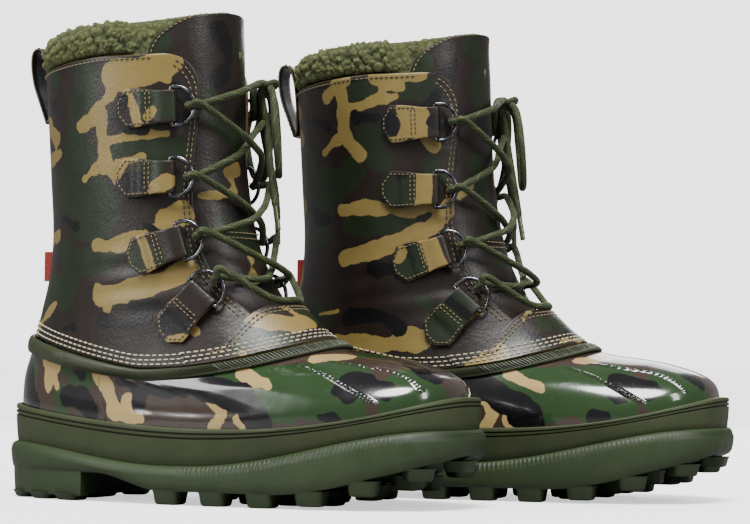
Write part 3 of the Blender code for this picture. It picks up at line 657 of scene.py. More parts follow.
def add_floor():
    r = FLOOR_REACH
    mesh = bpy.data.meshes.new("floor")
    mesh.from_pydata([(-r, -r, 0), (r, -r, 0), (r, r, 0), (-r, r, 0)], [], [(0, 1, 2, 3)])
    floor = bpy.data.objects.new("floor", mesh)
    bpy.context.scene.collection.objects.link(floor)
    nodes = Nodes("floor")
    seen = nodes.make("ShaderNodeLightPath").outputs["Is Camera Ray"]
    grey, seen_grey = ((value, value, value, 1.0) for value in (FLOOR_GREY, FLOOR_SEEN_GREY))
    nodes.set(Base_Color=nodes.mix(seen, grey, seen_grey), Roughness=0.60)
    glow = nodes.math("MULTIPLY", seen, FLOOR_SEEN_GLOW)
    nodes.set(Emission_Color=(1.0, 1.0, 1.0, 1.0), Emission_Strength=glow)
    mesh.materials.append(nodes.material)


def add_backdrop():
    world = bpy.data.worlds.new("studio")
    world.use_nodes = True
    nodes, links = world.node_tree.nodes, world.node_tree.links
    background = nodes["Background"]
    background.inputs["Color"].default_value = (1.0, 1.0, 1.0, 1.0)
    seen = nodes.new("ShaderNodeLightPath")
    strength = nodes.new("ShaderNodeMapRange")
    strength.inputs["To Min"].default_value = BACKDROP_LIGHT
    strength.inputs["To Max"].default_value = BACKDROP_SEEN
    links.new(seen.outputs["Is Camera Ray"], strength.inputs["Value"])
    links.new(strength.outputs["Result"], background.inputs["Strength"])
    bpy.context.scene.world = world


def add_lights():
    sun = bpy.data.lights.new("ceiling", "SUN")
    sun.energy, sun.angle = 7.0, math.radians(26.0)
    ceiling = bpy.data.objects.new("ceiling", sun)
    bpy.context.scene.collection.objects.link(ceiling)
    aim(ceiling, (0.35, -0.75, 1.6), (0.0, 0.0, 0.0))
    add_light("toe_side", (1.3, -0.5, 0.95), (0.1, 0.0, 0.10), (0.22, 0.8), 11.0)
    add_light("front_left", (-0.9, -1.3, 0.8), (0.0, 0.0, 0.15), (0.5, 0.9), 20.0)
    add_light("rear", (-0.5, 1.5, 0.9), (0.0, 0.0, 0.12), (1.0, 0.9), 12.0)


add_camera()
add_floor()
add_backdrop()
add_lights()


# ---- lace ------------------------------------------------------------------------------
class RingSeat:
    """The frame of one ring: its bar's centre, and the ways along, up and out."""

    def __init__(self, row, hand):
        u = angle_u(RING_ANGLES[row])
        v = float(level_at(u, RING_HEIGHTS[row]))
        self.u, self.v, self.hand = (u if hand > 0 else 1 - u), v, hand
        foot = skin(self.u, v)
        self.out = skin(self.u, v, 1.0) - foot
        flat = skin(self.u + hand * 0.004, v) - foot
        flat = unit(flat - self.out * (flat @ self.out))
        rise = np.array([0.0, 0.0, 1.0])
        rise = unit(rise - self.out * (rise @ self.out) - flat * (rise @ flat))
        slope = math.radians(RING_SLOPES[row])
        self.along = flat * math.cos(slope) + rise * math.sin(slope)
        self.up = rise * math.cos(slope) - flat * math.sin(slope)
        self.bar = foot + self.out * BAR_HEIGHT

    def ring_point(self, x, y, z=0.0):
        c, s = math.cos(RING_LIFT), math.sin(RING_LIFT)
        lifted = self.along * (x * c - z * s) + self.up * y + self.out * (x * s + z * c)
        return self.bar + lifted

    def tab_points(self, x, y, height):
        """Points over the leather, x along the tab from the bar and y across it."""
        x, y, height = np.broadcast_arrays(x, y, height)
        foot = self.bar - self.out * BAR_HEIGHT
        return onto_skin(foot + self.along * x[..., None] + self.up * y[..., None], height)


def ring_turn(seat, from_over):
    """The lace's turn round a ring's bow: in over it and out under it, or the other way."""
    turn = [(RING_DEPTH + 0.0050, 0.0, LACE_CLEAR)]
    for degrees in (92, 136, 180, 224, 268):
        a = math.radians(degrees)
        turn.append((RING_DEPTH + LACE_CLEAR * math.cos(a), 0.0, LACE_CLEAR * math.sin(a)))
    if not from_over:
        turn.reverse()
    return [seat.ring_point(x, y, z) for x, y, z in turn]


KNOT_ANGLE = -34.0
KNOT_HEIGHT = 0.263
KNOT_OUT = 0.0065
SHAFT_RADIUS = 0.055
BOW_NEAR = (
    (0.0, 0.000, 0.0050), (-0.013, 0.008, 0.0070), (-0.021, 0.030, 0.0090), (-0.017, 0.056, 0.0090),
    (-0.009, 0.058, 0.0090), (-0.005, 0.030, 0.0100), (-0.0045, 0.009, 0.0080),
)
BOW_FAR = (
    (0.0048, -0.001, 0.0050), (0.018, 0.006, 0.0080), (0.029, 0.028, 0.0110), (0.026, 0.054, 0.0110),
    (0.017, 0.058, 0.0110), (0.009, 0.032, 0.0110), (0.0050, 0.009, 0.0090),
)
END_NEAR = (
    (-0.0022, 0.005, 0.0010), (-0.002, 0.030, 0.0040), (-0.010, 0.064, 0.0040), (-0.012, 0.096, 0.0030),
)
END_FAR = (
    (0.0050, 0.006, 0.0020), (0.006, 0.032, 0.0045), (0.0075, 0.068, 0.0110), (0.012, 0.104, 0.0100),
)
# Where the lace crosses itself, one run passes over the other.
OVER_LACE = 0.0058
UNDER_LACE = 0.0005


def over_skin(degrees, z, height):
    u = angle_u(degrees)
    return skin(u, level_at(u, z), height)


def knot_point(across, down, out, mirror):
    """A point by the knot: across towards the back, down the boot, and off the leather."""
    degrees = KNOT_ANGLE - math.degrees(across / SHAFT_RADIUS)
    return over_skin(degrees * mirror, KNOT_HEIGHT - down, KNOT_OUT + out)


def crossing(row, next_row, hand, height):
    """The lace from one side to the other, between a row of rings and the next."""
    here, there = RING_HEIGHTS[row], RING_HEIGHTS[next_row]
    middle, drift = here * 0.5 + there * 0.5, here - there
    stops = ((14, 0.22), (0, 0.0), (-14, -0.22))
    return [over_skin(a * hand, middle + drift * share * 0.8, height) for a, share in stops]


def lace_route(seats, knot_hand):
    """The whole lace from one tip to the other: end, loop, lacing, loop, end."""
    mirror = -knot_hand

    def knotted(points):
        return [knot_point(*p, mirror) for p in points]

    route = knotted(reversed(END_NEAR)) + knotted(reversed(BOW_NEAR)) + knotted([(-0.008, 0.000, -0.001)])
    route += [over_skin(-12 * mirror, 0.2590, 0.0008), over_skin(10 * mirror, 0.2530, 0.0008)]
    hand, last = mirror, len(RING_HEIGHTS) - 1
    for row in range(last + 1):
        route += ring_turn(seats[hand][row], from_over=False)
        if row < last:
            route += crossing(row, row + 1, hand, OVER_LACE)
            hand = -hand
    low = ((20, 0.1235, 0.0046), (0, 0.1225, 0.0040), (-20, 0.1235, 0.0046))
    route += [over_skin(a * hand, z, height) for a, z, height in low]
    hand = -hand
    for row in range(last, -1, -1):
        route += ring_turn(seats[hand][row], from_over=True)
        if row > 0:
            route += crossing(row, row - 1, hand, UNDER_LACE)
            hand = -hand
    route += knotted([(-0.004, 0.006, -0.0052), (0.0005, 0.000, -0.0015)])
    return route + knotted(BOW_FAR) + knotted(END_FAR)


CORD_SIDES = 24
BRAID_PITCH = 0.0050


def braided(path, arc, radius):
    """A braided cord's surface: strands crossing over and under each other round the path."""
    steps = len(path)
    rings = tube(path, 1.0, CORD_SIDES).reshape(steps, CORD_SIDES, 3) - path[:, None]
    angle = 2 * np.pi * np.arange(CORD_SIDES) / CORD_SIDES
    phase = 2 * np.pi * arc[:, None] / BRAID_PITCH
    left, right = np.cos(6 * angle + phase), np.cos(6 * angle - phase)
    # strand shapes the cord and drives the painted shade between its strands.
    strand = np.maximum(left, right) * 0.5 + 0.5
    fleck = (left > right) * (left > 0.2) * (np.cos(2 * angle + phase / 3) > 0.35)
    width = np.broadcast_to(radius, (steps,))[:, None] * (0.99 + 0.07 * strand)
    points = path[:, None] + rings * width[..., None]
    values = {"strand": strand.reshape(-1), "fleck": fleck.reshape(-1).astype(float)}
    return points.reshape(-1, 3), values


AGLET_LENGTH = 0.017
AGLET_RADIUS = 0.0017
KNOT_RADIUS = 0.0058


def add_cord(boot, name, path, length, radius, **options):
    points, values = braided(path, np.linspace(0, length, len(path)), radius)
    faces = tube_faces(len(path), CORD_SIDES, caps=True)
    return new_piece(
        boot, name, points, faces, LACE_LOOK, "lace_cord", smooth=60, values=values, **options
    )


def add_lace(boot, seats):
    """One lace, its knot and its two tips; the bow of either boot hangs on its +Y side."""
    spacing = 0.0007
    mirror = -boot.side
    path, length = blend_curve(lace_route(seats, knot_hand=boot.side), spacing)
    arc = np.linspace(0, length, len(path))
    from_tip = np.minimum(arc, length - arc)
    radius = LACE_RADIUS * (0.68 + 0.32 * ramp(from_tip, AGLET_LENGTH - 0.003, AGLET_LENGTH + 0.001))
    lace = add_cord(boot, "lace_cord", path, length, radius, replaces=("lace",))
    loop = []
    for a in np.linspace(0, 2 * math.pi, 40):
        across, out = KNOT_RADIUS * math.cos(a), 0.0050 + KNOT_RADIUS * math.sin(a)
        loop.append(knot_point(across, 0.0030 * math.sin(2 * a) * 0.4, out, mirror))
    wrap, size = blend_curve(loop, spacing)
    knot = add_cord(boot, "lace_knot", wrap, size, LACE_RADIUS * 0.94)
    for n, part in enumerate((path[arc < AGLET_LENGTH], path[arc > length - AGLET_LENGTH])):
        rings = np.full(len(part), AGLET_RADIUS)
        rings[0] = rings[-1] = AGLET_RADIUS * 0.8
        points, faces = tube(part, rings, 20), tube_faces(len(part), 20, caps=True)
        new_piece(boot, f"lace_tip_{n + 1}", points, faces, AGLET_LOOK, "lace_cord")
    world = boot.place(path)


# ---- camouflage ------------------------------------------------------------------------
# Strokes: (half width in mm, points). On the shaft and the tongue a point is (degrees from the
# front, height in mm), on the shell (hundredths of a turn from the back, level), and on the vamp
# (degrees from the front, level).
OUTER_SHAFT = {
    "tan": (
        (10.0, (84, 262), (70, 263), (57, 268)),
        (4.2, (84, 262), (88, 250), (95, 241), (100, 235), (107, 231)),
        (3.8, (92, 240), (94, 225), (93, 212), (93, 205)),
        (3.2, (92, 222), (80, 224), (70, 226), (57, 226)), (2.6, (95, 208), (100, 204), (107, 198)),
        (3.4, (91, 206), (87, 197)), (3.4, (84, 207), (72, 211)), (6.2, (152, 233), (141, 232), (133, 226)),
        (6.0, (156, 232), (158, 212)), (3.6, (150, 213), (138, 213), (129, 215)),
        (4.6, (150, 163), (139, 164)), (4.4, (103, 158), (92, 158), (80, 161), (70, 166)),
        (7.0, (62, 174), (53, 178)), (6.8, (102, 127), (92, 128), (80, 132), (68, 136), (58, 142)),
        (3.6, (100, 126), (99, 120)), (3.0, (135, 122), (144, 116), (158, 106)),
        (4.0, (166, 104), (158, 103)), (3.4, (67, 111), (63, 105)), (2.6, (88, 126), (84, 122)),
        (5.0, (56, 260), (62, 262)),
    ),
    "green": (
        (9.0, (101, 264), (106, 250), (112, 238), (110, 224)),
        (12.0, (110, 216), (118, 204), (112, 188), (112, 172)), (8.0, (88, 214), (70, 216), (48, 218)),
        (11.0, (100, 190), (96, 178), (100, 166)), (9.0, (128, 154), (116, 146), (98, 150)),
        (10.0, (122, 140), (128, 128), (146, 132)), (6.0, (150, 122), (160, 116)),
        (7.0, (146, 200), (134, 196), (126, 184)), (5.0, (50, 196), (58, 190)), (6.0, (70, 148), (80, 144)),
        (4.5, (128, 262), (138, 266)), (4.0, (48, 150), (54, 158)), (5.0, (72, 240), (62, 234)),
    ),
    "black": (
        (5.2, (86, 236), (80, 232), (70, 231)), (4.0, (52, 256), (44, 250)), (4.2, (60, 232), (46, 236)),
        (3.4, (104, 112), (92, 109), (80, 112)), (3.2, (128, 175), (118, 170)),
        (4.0, (142, 250), (134, 244)), (3.6, (86, 120), (72, 121), (60, 124)), (3.0, (74, 170), (66, 160)),
        (4.2, (150, 182), (160, 176)), (3.0, (120, 108), (132, 104)),
    ),
}
INNER_SHAFT = {
    "tan": (
        (4.0, (88, 272), (75, 273), (60, 274)), (4.4, (80, 268), (74, 266)),
        (4.2, (119, 261), (112, 267), (103, 271)),
        (4.4, (108, 264), (107, 250), (107, 238), (103, 229), (97, 222)),
        (3.2, (106, 252), (95, 253), (85, 257), (75, 259)), (3.0, (108, 234), (116, 230), (122, 224)),
        (7.0, (168, 256), (156, 253)), (5.2, (166, 241), (152, 236)),
        (4.4, (112, 187), (95, 188), (85, 186), (72, 185), (60, 188)),
        (5.6, (112, 156), (100, 158), (88, 163), (75, 168), (62, 174), (50, 187)),
        (4.6, (164, 190), (154, 190)), (4.8, (158, 147), (162, 137), (168, 128)),
        (4.2, (60, 231), (54, 229)), (1.6, (130, 118), (118, 120)),
        (4.6, (84, 105), (72, 106), (62, 112), (50, 122)), (5.4, (118, 100), (96, 99), (78, 100)),
    ),
    "green": (
        (8.0, (98, 264), (86, 263), (70, 264), (56, 264)), (9.0, (92, 242), (94, 228), (86, 218)),
        (12.0, (142, 216), (134, 200), (126, 190)), (10.0, (122, 208), (112, 200), (104, 210)),
        (9.0, (104, 176), (90, 178), (78, 178)), (6.0, (128, 172), (140, 166)), (6.0, (58, 214), (50, 208)),
        (5.0, (142, 264), (134, 270)), (9.0, (140, 124), (128, 112), (138, 104)),
        (5.0, (74, 126), (64, 120)),
    ),
    "black": (
        (4.6, (98, 246), (88, 246)), (4.4, (52, 262), (56, 252)), (4.0, (120, 240), (130, 246)),
        (4.4, (124, 182), (138, 184)), (4.0, (70, 200), (60, 196)), (4.6, (98, 146), (84, 148), (70, 152)),
        (5.0, (112, 116), (98, 118), (88, 110)), (4.0, (150, 142), (158, 156)), (3.4, (66, 116), (60, 106)),
    ),
}
SHELL = {
    "tan": (
        (4.6, (11.2, 3.75), (12.2, 3.1), (12.6, 2.2)), (3.2, (13.2, 3.6), (13.8, 3.2)),
        (3.0, (12.8, 2.8), (13.8, 2.3)), (5.2, (19.6, 3.9), (19.8, 2.6), (20.3, 1.5)),
        (5.2, (21.4, 2.3), (21.8, 1.3)), (3.6, (20.6, 1.6), (22.4, 1.2)),
        (4.0, (26.8, 2.7), (26.4, 1.9), (25.7, 1.0)), (3.0, (27.8, 2.75), (26.8, 2.5)),
        (4.4, (27.2, 1.5), (27.6, 0.9)), (4.0, (32.2, 3.0), (32.8, 3.4), (33.6, 3.75)),
        (4.6, (42.0, 3.7), (45.0, 3.55)), (5.0, (50.5, 2.4), (52.5, 2.2)), (3.0, (2.0, 2.6), (4.6, 2.0)),
    ),
    "green": (
        (9.0, (15.0, 3.7), (16.6, 3.2), (18.0, 3.4)), (7.0, (14.6, 2.0), (14.9, 1.4)),
        (15.0, (31.0, 2.4), (33.5, 2.6), (35.0, 1.6)), (12.0, (30.0, 3.4), (36.0, 3.2), (40.0, 3.0)),
        (13.0, (40.0, 1.6), (43.5, 2.2), (44.0, 1.4)), (12.0, (49.0, 3.4), (52.0, 3.2), (56.0, 3.0)),
        (7.0, (6.0, 3.2), (8.5, 2.6)),
    ),
    "black": (
        (6.0, (7.6, 2.6), (8.6, 1.6), (10.2, 1.2)), (4.6, (16.4, 3.75), (17.4, 3.3)),
        (7.0, (15.5, 2.0), (17.0, 1.8), (18.3, 1.4)), (5.0, (22.3, 3.6), (22.6, 2.9), (22.3, 2.2)),
        (9.0, (28.6, 3.8), (28.6, 2.4), (28.4, 1.1)), (6.0, (24.8, 3.5), (25.6, 3.1)),
        (8.0, (36.8, 2.3), (38.6, 2.7), (39.4, 2.0)), (6.0, (47.0, 2.7), (46.4, 2.0)),
        (4.0, (32.8, 1.3), (34.0, 1.1)),
    ),
}
VAMP = {
    "tan": (
        (3.4, (52, 4.45), (50, 4.2)), (5.0, (36, 4.95), (30, 4.8)), (7.0, (28, 4.72), (18, 4.55), (8, 4.6)),
        (3.4, (10, 4.85), (14, 5.05)), (6.0, (-64, 4.2), (-52, 4.3)), (3.6, (-20, 4.25), (-8, 4.2)),
        (3.0, (-30, 4.95), (-24, 5.1)),
    ),
    "green": (
        (9.0, (46, 4.4), (38, 4.5), (30, 4.3)), (8.0, (4, 4.95), (-6, 4.7), (-18, 4.75)),
        (8.0, (-38, 4.6), (-46, 4.4)),
    ),
    "black": ((4.0, (0, 4.35), (-8, 4.4)), (4.6, (-30, 4.3), (-34, 4.7)), (3.0, (42, 4.75), (46, 4.6))),
}
TONGUE = {
    "tan": (
        (5.0, (6, 206), (16, 203), (12, 195)), (3.4, (14, 194), (22, 190), (40, 189)),
        (5.0, (-30, 204), (-40, 198)), (4.0, (-4, 278), (-6, 268)), (4.4, (10, 152), (16, 140)),
        (4.0, (-14, 132), (-6, 128)),
    ),
    "green": (
        (9.0, (-24, 296), (-8, 286), (-16, 262)), (8.0, (30, 250), (22, 232), (8, 226)),
        (9.0, (-22, 218), (-12, 180)), (8.0, (26, 172), (14, 166), (-10, 156)), (8.0, (58, 284), (66, 272)),
        (9.0, (-60, 280), (-64, 262)),
    ),
    "black": (
        (8.0, (18, 290), (10, 276), (22, 262)), (6.0, (-14, 244), (4, 240)), (6.0, (0, 182), (12, 176)),
        (7.0, (-40, 282), (-46, 264)), (5.0, (-2, 146), (8, 134)),
    ),
}


FAR_OUTSIDE = -1.0


def distance_inside(points, strokes, place):
    """How far inside the nearest stroke each point lies, in metres; negative outside."""
    best = np.full(len(points), FAR_OUTSIDE)
    for width, *stops in strokes:
        line = place(np.array(stops, float))
        for a, b in zip(line[:-1], line[1:]):
            step = b - a
            t = np.clip((points - a) @ step / max(step @ step, 1e-12), 0, 1)
            gap = np.linalg.norm(points - a - t[:, None] * step, axis=1)
            best = np.maximum(best, width / 1000 - gap)
    return best


OUTSIDE, INSIDE = -0.01, 0.01


def camouflage(points, pattern, place, seed=0.0):
    """Per-point distances inside the tan, green and black patches."""
    points = points.reshape(-1, 3)
    run = points[:, 0] * 1.1 + points[:, 1] * 0.7
    drift = ripple(run * 190, points[:, 2] * 190, seed) * 0.0022
    drift = drift + ripple(run * 430, points[:, 2] * 430, seed + 2) * 0.0010
    return {
        name: distance_inside(points, pattern[name], place) + drift * (1 + 0.2 * k)
        for k, name in enumerate(("tan", "green", "black"))
    }


def tan_depth(points, pattern, place):
    """How far inside the tan patches each point lies."""
    return camouflage(points, {"tan": pattern["tan"], "green": (), "black": ()}, place)["tan"]


def on_shaft(hand):
    def place(stops):
        u = angle_u(stops[:, 0] * hand)
        return skin(u, level_at(u, stops[:, 1] / 1000))

    return place


def on_shell(hand):
    def place(stops):
        u = stops[:, 0] / 100
        return skin(u if hand > 0 else 1 - u, stops[:, 1])

    return place


def on_vamp(stops):
    return skin(angle_u(stops[:, 0]), stops[:, 1])


# ---- rubber bottom ---------------------------------------------------------------------
def groove_z(x):
    t = np.asarray(x, float) / SOLE_LENGTH
    return 0.0240 + 0.0116 * ramp(-t, -0.42, -0.02) + 0.0240 * ramp(t, 0.45, 1.0) ** 1.2


def tread_z(x):
    return 0.027 * np.clip((np.asarray(x, float) - 0.212) / 0.106, 0, 1) ** 1.7


def plate_z(x):
    x = np.asarray(x, float)
    arch = 0.0095 * (1 - ramp(x, 0.085, 0.135))
    return tread_z(x) + LUG_HEIGHT + arch - 0.003 * ramp(x, 0.27, 0.318)


def sole_edge(u, inset=0.0):
    level = np.array([inset, SOLE_LENGTH - inset, SOLE_HALF_WIDTH - inset, 2.7, 0.17, 0, 0, 0])
    return ring_point(u, np.broadcast_to(level, (len(u), 8)))[:, :2]


def sole_outline(count, inset=0.0):
    return sole_edge(np.arange(count) / count, inset)


def even_turns(count, level=1.0):
    """u values at even steps along the boot's outline, for ribs of one pitch, and its length."""
    u = 0.5 - 0.5 * np.cos(np.pi * np.linspace(0, 1, 6001))
    quarter = np.concatenate([u / 4, 0.25 + u / 4, 0.5 + u / 4, 0.75 + u / 4])
    arc = arc_length(skin(quarter, level))
    return np.interp(np.arange(count) / count * arc[-1], arc, quarter), arc[-1]


def edge_lugs():
    """Where the lugs stand round the sole's edge, as the CAD has them: x, y and heading."""
    half = sole_outline(720, LUG_INSET)[:361]
    arc = arc_length(half)
    heel = np.arange(0, np.interp(HEEL_LENGTH - 0.010, half[:, 0], arc), HEEL_PITCH)
    fore = np.arange(np.interp(0.138, half[:, 0], arc), arc[-1], FORE_PITCH)
    places = []
    for distance in np.concatenate([heel, fore]):
        i = int(np.clip(np.searchsorted(arc, distance), 3, len(half) - 4))
        x, y = (np.interp(distance, arc, half[:, k]) for k in range(2))
        ahead = half[i + 3] - half[i - 3]
        heading = math.atan2(ahead[1], ahead[0])
        if y < 0.010:
            places.append((x, 0.0, math.pi / 2))
        else:
            places += [(x, y, heading), (x, -y, -heading)]
    return places


# How far a lug reaches up into the plate, and the heading of a lug that lies across the sole.
LUG_ROOT = 0.0008
SIDEWAYS = math.radians(90)


def lugs():
    """Every lug: x, y, heading, length, width, top, and tip height."""
    blocks = []
    for x, y, heading in edge_lugs():
        top = (0.0035 if x < HEEL_LENGTH else float(plate_z(x))) + LUG_ROOT
        blocks.append((x, y, heading, 0.0160, 0.0146, top, float(tread_z(x))))
    for x in (0.146, 0.172, 0.198, 0.224, 0.250, 0.276):
        top, tip = float(plate_z(x)) + LUG_ROOT, float(tread_z(x))
        for y, shift in ((-0.016, -0.006), (0.016, 0.006)):
            blocks.append((x + shift, y, SIDEWAYS, 0.016, 0.0145, top, tip))
    for x in (0.036, 0.058):
        blocks.append((x, 0.0, SIDEWAYS, 0.030, 0.012, 0.0045, 0.0))
    return blocks


def rounded_block(x, y, heading, length, width, top, bottom):
    """Rings of a lug: a soft-cornered block that flares into the plate and rounds at its tip."""
    along = np.array([math.cos(heading), math.sin(heading)])
    side = np.array([-along[1], along[0]])
    turns = 2 * np.pi * (np.arange(28) + 0.5) / 28
    cx, cy = np.cos(turns), np.sin(turns)
    rings = []
    shoulder = top - 0.25 * (top - bottom)
    levels = ((top, 0.0018), (shoulder, 0.0010), (bottom + 0.0014, 0.0001))
    levels += ((bottom + 0.0006, -0.0004), (bottom + 0.0002, -0.0010), (bottom, -0.0018))
    for z, grow in levels:
        a = np.sign(cx) * np.abs(cx) ** 0.42 * (length / 2 + grow)
        b = np.sign(cy) * np.abs(cy) ** 0.42 * (width / 2 + grow)
        flat = np.array([x, y]) + a[:, None] * along + b[:, None] * side
        rings.append(np.column_stack([flat, np.full(28, z)]))
    return np.concatenate(rings), tube_faces(6, 28, caps=True)


def heel_block():
    """The heel's own block, soft round its lower edge."""
    edge = sole_outline(400, 0.0016)
    edge = edge[edge[:, 0] < HEEL_LENGTH]
    edge = edge[np.argsort(np.arctan2(edge[:, 1], HEEL_LENGTH - edge[:, 0]))]
    across = np.linspace(edge[-1, 1], edge[0, 1], 22)[1:-1]
    breast = np.column_stack([np.full(20, HEEL_LENGTH), across])
    loop = np.concatenate([edge, breast])[::-1]
    middle = np.array([HEEL_LENGTH / 2, 0.0])
    rings = []
    for z, shrink in ((0.0030, 0.945), (0.0034, 0.962), (0.0044, 0.972), (0.0130, 0.986), (0.0235, 1.0)):
        rings.append(np.column_stack([(loop - middle) * shrink + middle, np.full(len(loop), z)]))
    return np.concatenate(rings), tube_faces(5, len(loop), caps=True)


KNURLS = 260
KNURL_DEPTH = 0.00055


def add_outsole(boot):
    """The lugged sole: a rolled shoulder, knurled over the forefoot, a heel block and lugs."""
    count = 1560
    u = even_turns(count)[0]
    x = sole_edge(u)[:, 0]
    groove, plate = groove_z(x), plate_z(x)
    forefoot = ramp(x, 0.135, 0.16)
    ridges = 0.5 + 0.5 * np.sign(np.sin(np.arange(count) * 2 * np.pi * KNURLS / count))
    knurl = ridges * forefoot * (1 - ramp(x, 0.285, 0.30))

    def between(share):
        return (1 - share) * groove + share * plate

    rows = (
        (0.0090, groove - 0.0002, 0), (0.0052, groove - 0.0002, 0), (0.0034, groove - 0.0004, 0),
        (0.0018, groove - 0.0012, 0.3), (0.0008, groove - 0.0024, 1), (0.0002, groove - 0.0042, 1),
        (0.0, groove - 0.0056, 0.3), (0.0, groove - 0.0064, 0), (0.0002, between(0.38) - 0.0030, 0),
        (0.0005, between(0.64) - 0.0014, 0), (0.0012, between(0.88) - 0.0004, 0),
        (0.0024, plate - 0.0001, 0), (0.0046, plate, 0),
    )
    rings, hollow_shade = [], []
    for inset, z, cut in reversed(rows):
        ring = sole_edge(u, inset)
        outward = unit(ring - [SOLE_LENGTH / 2, 0.0])
        ring = ring - outward * (KNURL_DEPTH * cut * (1 - knurl) * forefoot)[:, None]
        rings.append(np.column_stack([ring, z]))
        # Painted shade in the knurl's cut-in valleys over the forefoot shoulder.
        hollow_shade.append(cut * (1 - knurl) * 0.6 * forefoot)
    faces = tube_faces(len(rings), count) + strip_cap(count, 0)
    faces += strip_cap(count, (len(rings) - 1) * count, flip=True)
    parts = [(np.concatenate(rings), faces), heel_block()]
    parts += [rounded_block(*block) for block in lugs()]
    points, faces = merge(parts)
    values = np.zeros(len(points))
    values[: count * len(rows)] = np.concatenate(hollow_shade)
    closed_piece(boot, "sole_lugged", points, faces, SOLE_LOOK, "sole_rubber",
                 values={"groove": values}, replaces=("outsole",))


GROOVE_DEPTH = 0.0009
BAND_WALL = 0.0030


def add_band(boot):
    """The wall between sole and shell, with two fine grooves under its top edge."""
    count = 720
    u = even_turns(count)[0]
    low_edge = sole_edge(u, 0.0042)
    foot = np.column_stack([low_edge, groove_z(low_edge[:, 0]) - 0.0006])
    inner_top = skin(u, 1.0, 0.0008)
    inner_low = skin(u, 0.02, 0.0008)
    inner_low[:, 2] = groove_z(inner_low[:, 0]) + 0.0002
    outward = unit(skin_and_normal(u, 1.0)[1] * [1.0, 1.0, 0.0])
    wall = ((foot - inner_low) * outward).sum(axis=1) * 0.8
    outer_top = inner_top + outward * np.maximum(wall, BAND_WALL)[:, None]
    profile = (
        (0.0, -0.0004), (0.03, 0.0), (0.30, 0.0003), (0.60, 0.0004), (0.705, 0.0003),
        (0.722, -GROOVE_DEPTH), (0.748, -GROOVE_DEPTH), (0.765, 0.0002), (0.825, 0.0002),
        (0.842, -GROOVE_DEPTH), (0.868, -GROOVE_DEPTH), (0.885, 0.0001), (0.955, 0.0),
        (0.985, -0.0004), (1.0, -0.0012),
    )
    rings, hollow_shade = [], []
    for t, out in profile:
        rings.append(foot + (outer_top - foot) * t + outward * out)
        # Painted shade in the band's two grooves.
        hollow_shade.append(np.full(count, float(out == -GROOVE_DEPTH)))
    rings += [inner_top, inner_low]
    hollow_shade += [np.zeros(count), np.zeros(count)]
    faces = tube_faces(len(rings), count, loop=True)
    closed_piece(boot, "foxing_band", np.concatenate(rings), faces, BAND_LOOK, "sole_rubber",
                 values={"groove": np.concatenate(hollow_shade)}, replaces=("side_band",))


def toe_seams(u, v):
    """Height of the shell's side lap and of its two zigzag toe seams a side, and their painted shade beside
    the stitches and along the lap's step.
    """
    height, dark = np.zeros(u.shape), np.zeros(u.shape)
    first = 0.372 + 0.0103 * (v - 2.25) ** 2
    second = 0.433 - 0.013 * ramp(v, 2.6, 3.2)
    zigzag = np.abs(((v * 9.0) % 1.0) * 2 - 1) * 2 - 1
    for half in (u, 1 - u):
        for middle, low, high in ((first, 1.35, 3.7), (second, 1.45, 3.6)):
            near = (half - middle) * SHELL_GIRTH
            along = np.clip((v - low) * 4, 0, 1) * np.clip((high - v) * 4, 0, 1)
            lap = np.clip(3 - np.abs(near) / 0.0011, 0, 1) * along
            thread = np.clip(1.25 - np.abs(near - 0.0013 * zigzag) / 0.0008, 0, 1) * along
            height += 0.0004 * lap + 0.0008 * thread
            # Painted shade in the lap, beside the raised thread.
            dark = np.maximum(dark, lap * 0.75 * (1 - thread))
        edge = (half - (0.192 + 0.004 * np.sin(v * 2))) * SHELL_GIRTH
        height += 0.0006 * ramp(edge, 0.0, 0.0010) * (1 - ramp(edge, 0.016, 0.030))
        # Painted shade along the step at the side lap's edge.
        dark = np.maximum(dark, np.clip(1 - np.abs(edge) / 0.0007, 0, 1))
    return height, dark


def add_shell(boot):
    """The glossy camouflaged rubber shoe, drawn inside and out."""
    count, rows = ((1000, 150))
    u = even_turns(count, 2.4)[0]
    v = np.linspace(0.3, 3.92, rows)[:, None]
    uu, vv = np.broadcast_arrays(u[None, :], v)
    seam, dark = toe_seams(uu, vv)
    dents = 0.0005 * ripple(uu * 34, vv * 2.2, 1.0) * ramp(vv, 1.1, 2.0)
    skinned = skin(uu, vv, seam + dents)
    low = skin(u, 0.3, -0.003)
    inner = [skin(u, level, -0.0030) for level in (3.9, 3.2, 2.4, 1.6, 0.9, 0.3)]
    points = np.concatenate([low[None], skinned, np.array(inner)]).reshape(-1, 3)
    total = rows + 1 + len(inner)
    faces = tube_faces(total, count) + strip_cap(count, (total - 1) * count)
    outline = skinned.reshape(-1, 3)
    outer_side = camouflage(outline, SHELL, on_shell(1))
    inner_side = camouflage(outline, SHELL, on_shell(-1), 3.0)

    def hidden_round(data, hidden):
        return np.concatenate([np.full(count, hidden), data, np.full(len(inner) * count, hidden)])

    values = {}
    for name, data in outer_side.items():
        values[name] = hidden_round(np.where(outline[:, 1] >= 0, data, inner_side[name]), OUTSIDE)
    # The painted shade of the laps and toe seams.
    values["seam"] = hidden_round(dark.reshape(-1), 0.0)
    closed_piece(boot, "camo_shell", points, faces, SHELL_LOOK, "camo_rubber", smooth=50,
                 values=values, replaces=("rubber_shell",))


TOE_RIB_PITCH = 0.0023
SIDE_RIB_PITCH = 0.0016
RIB_DEPTH = 0.00045


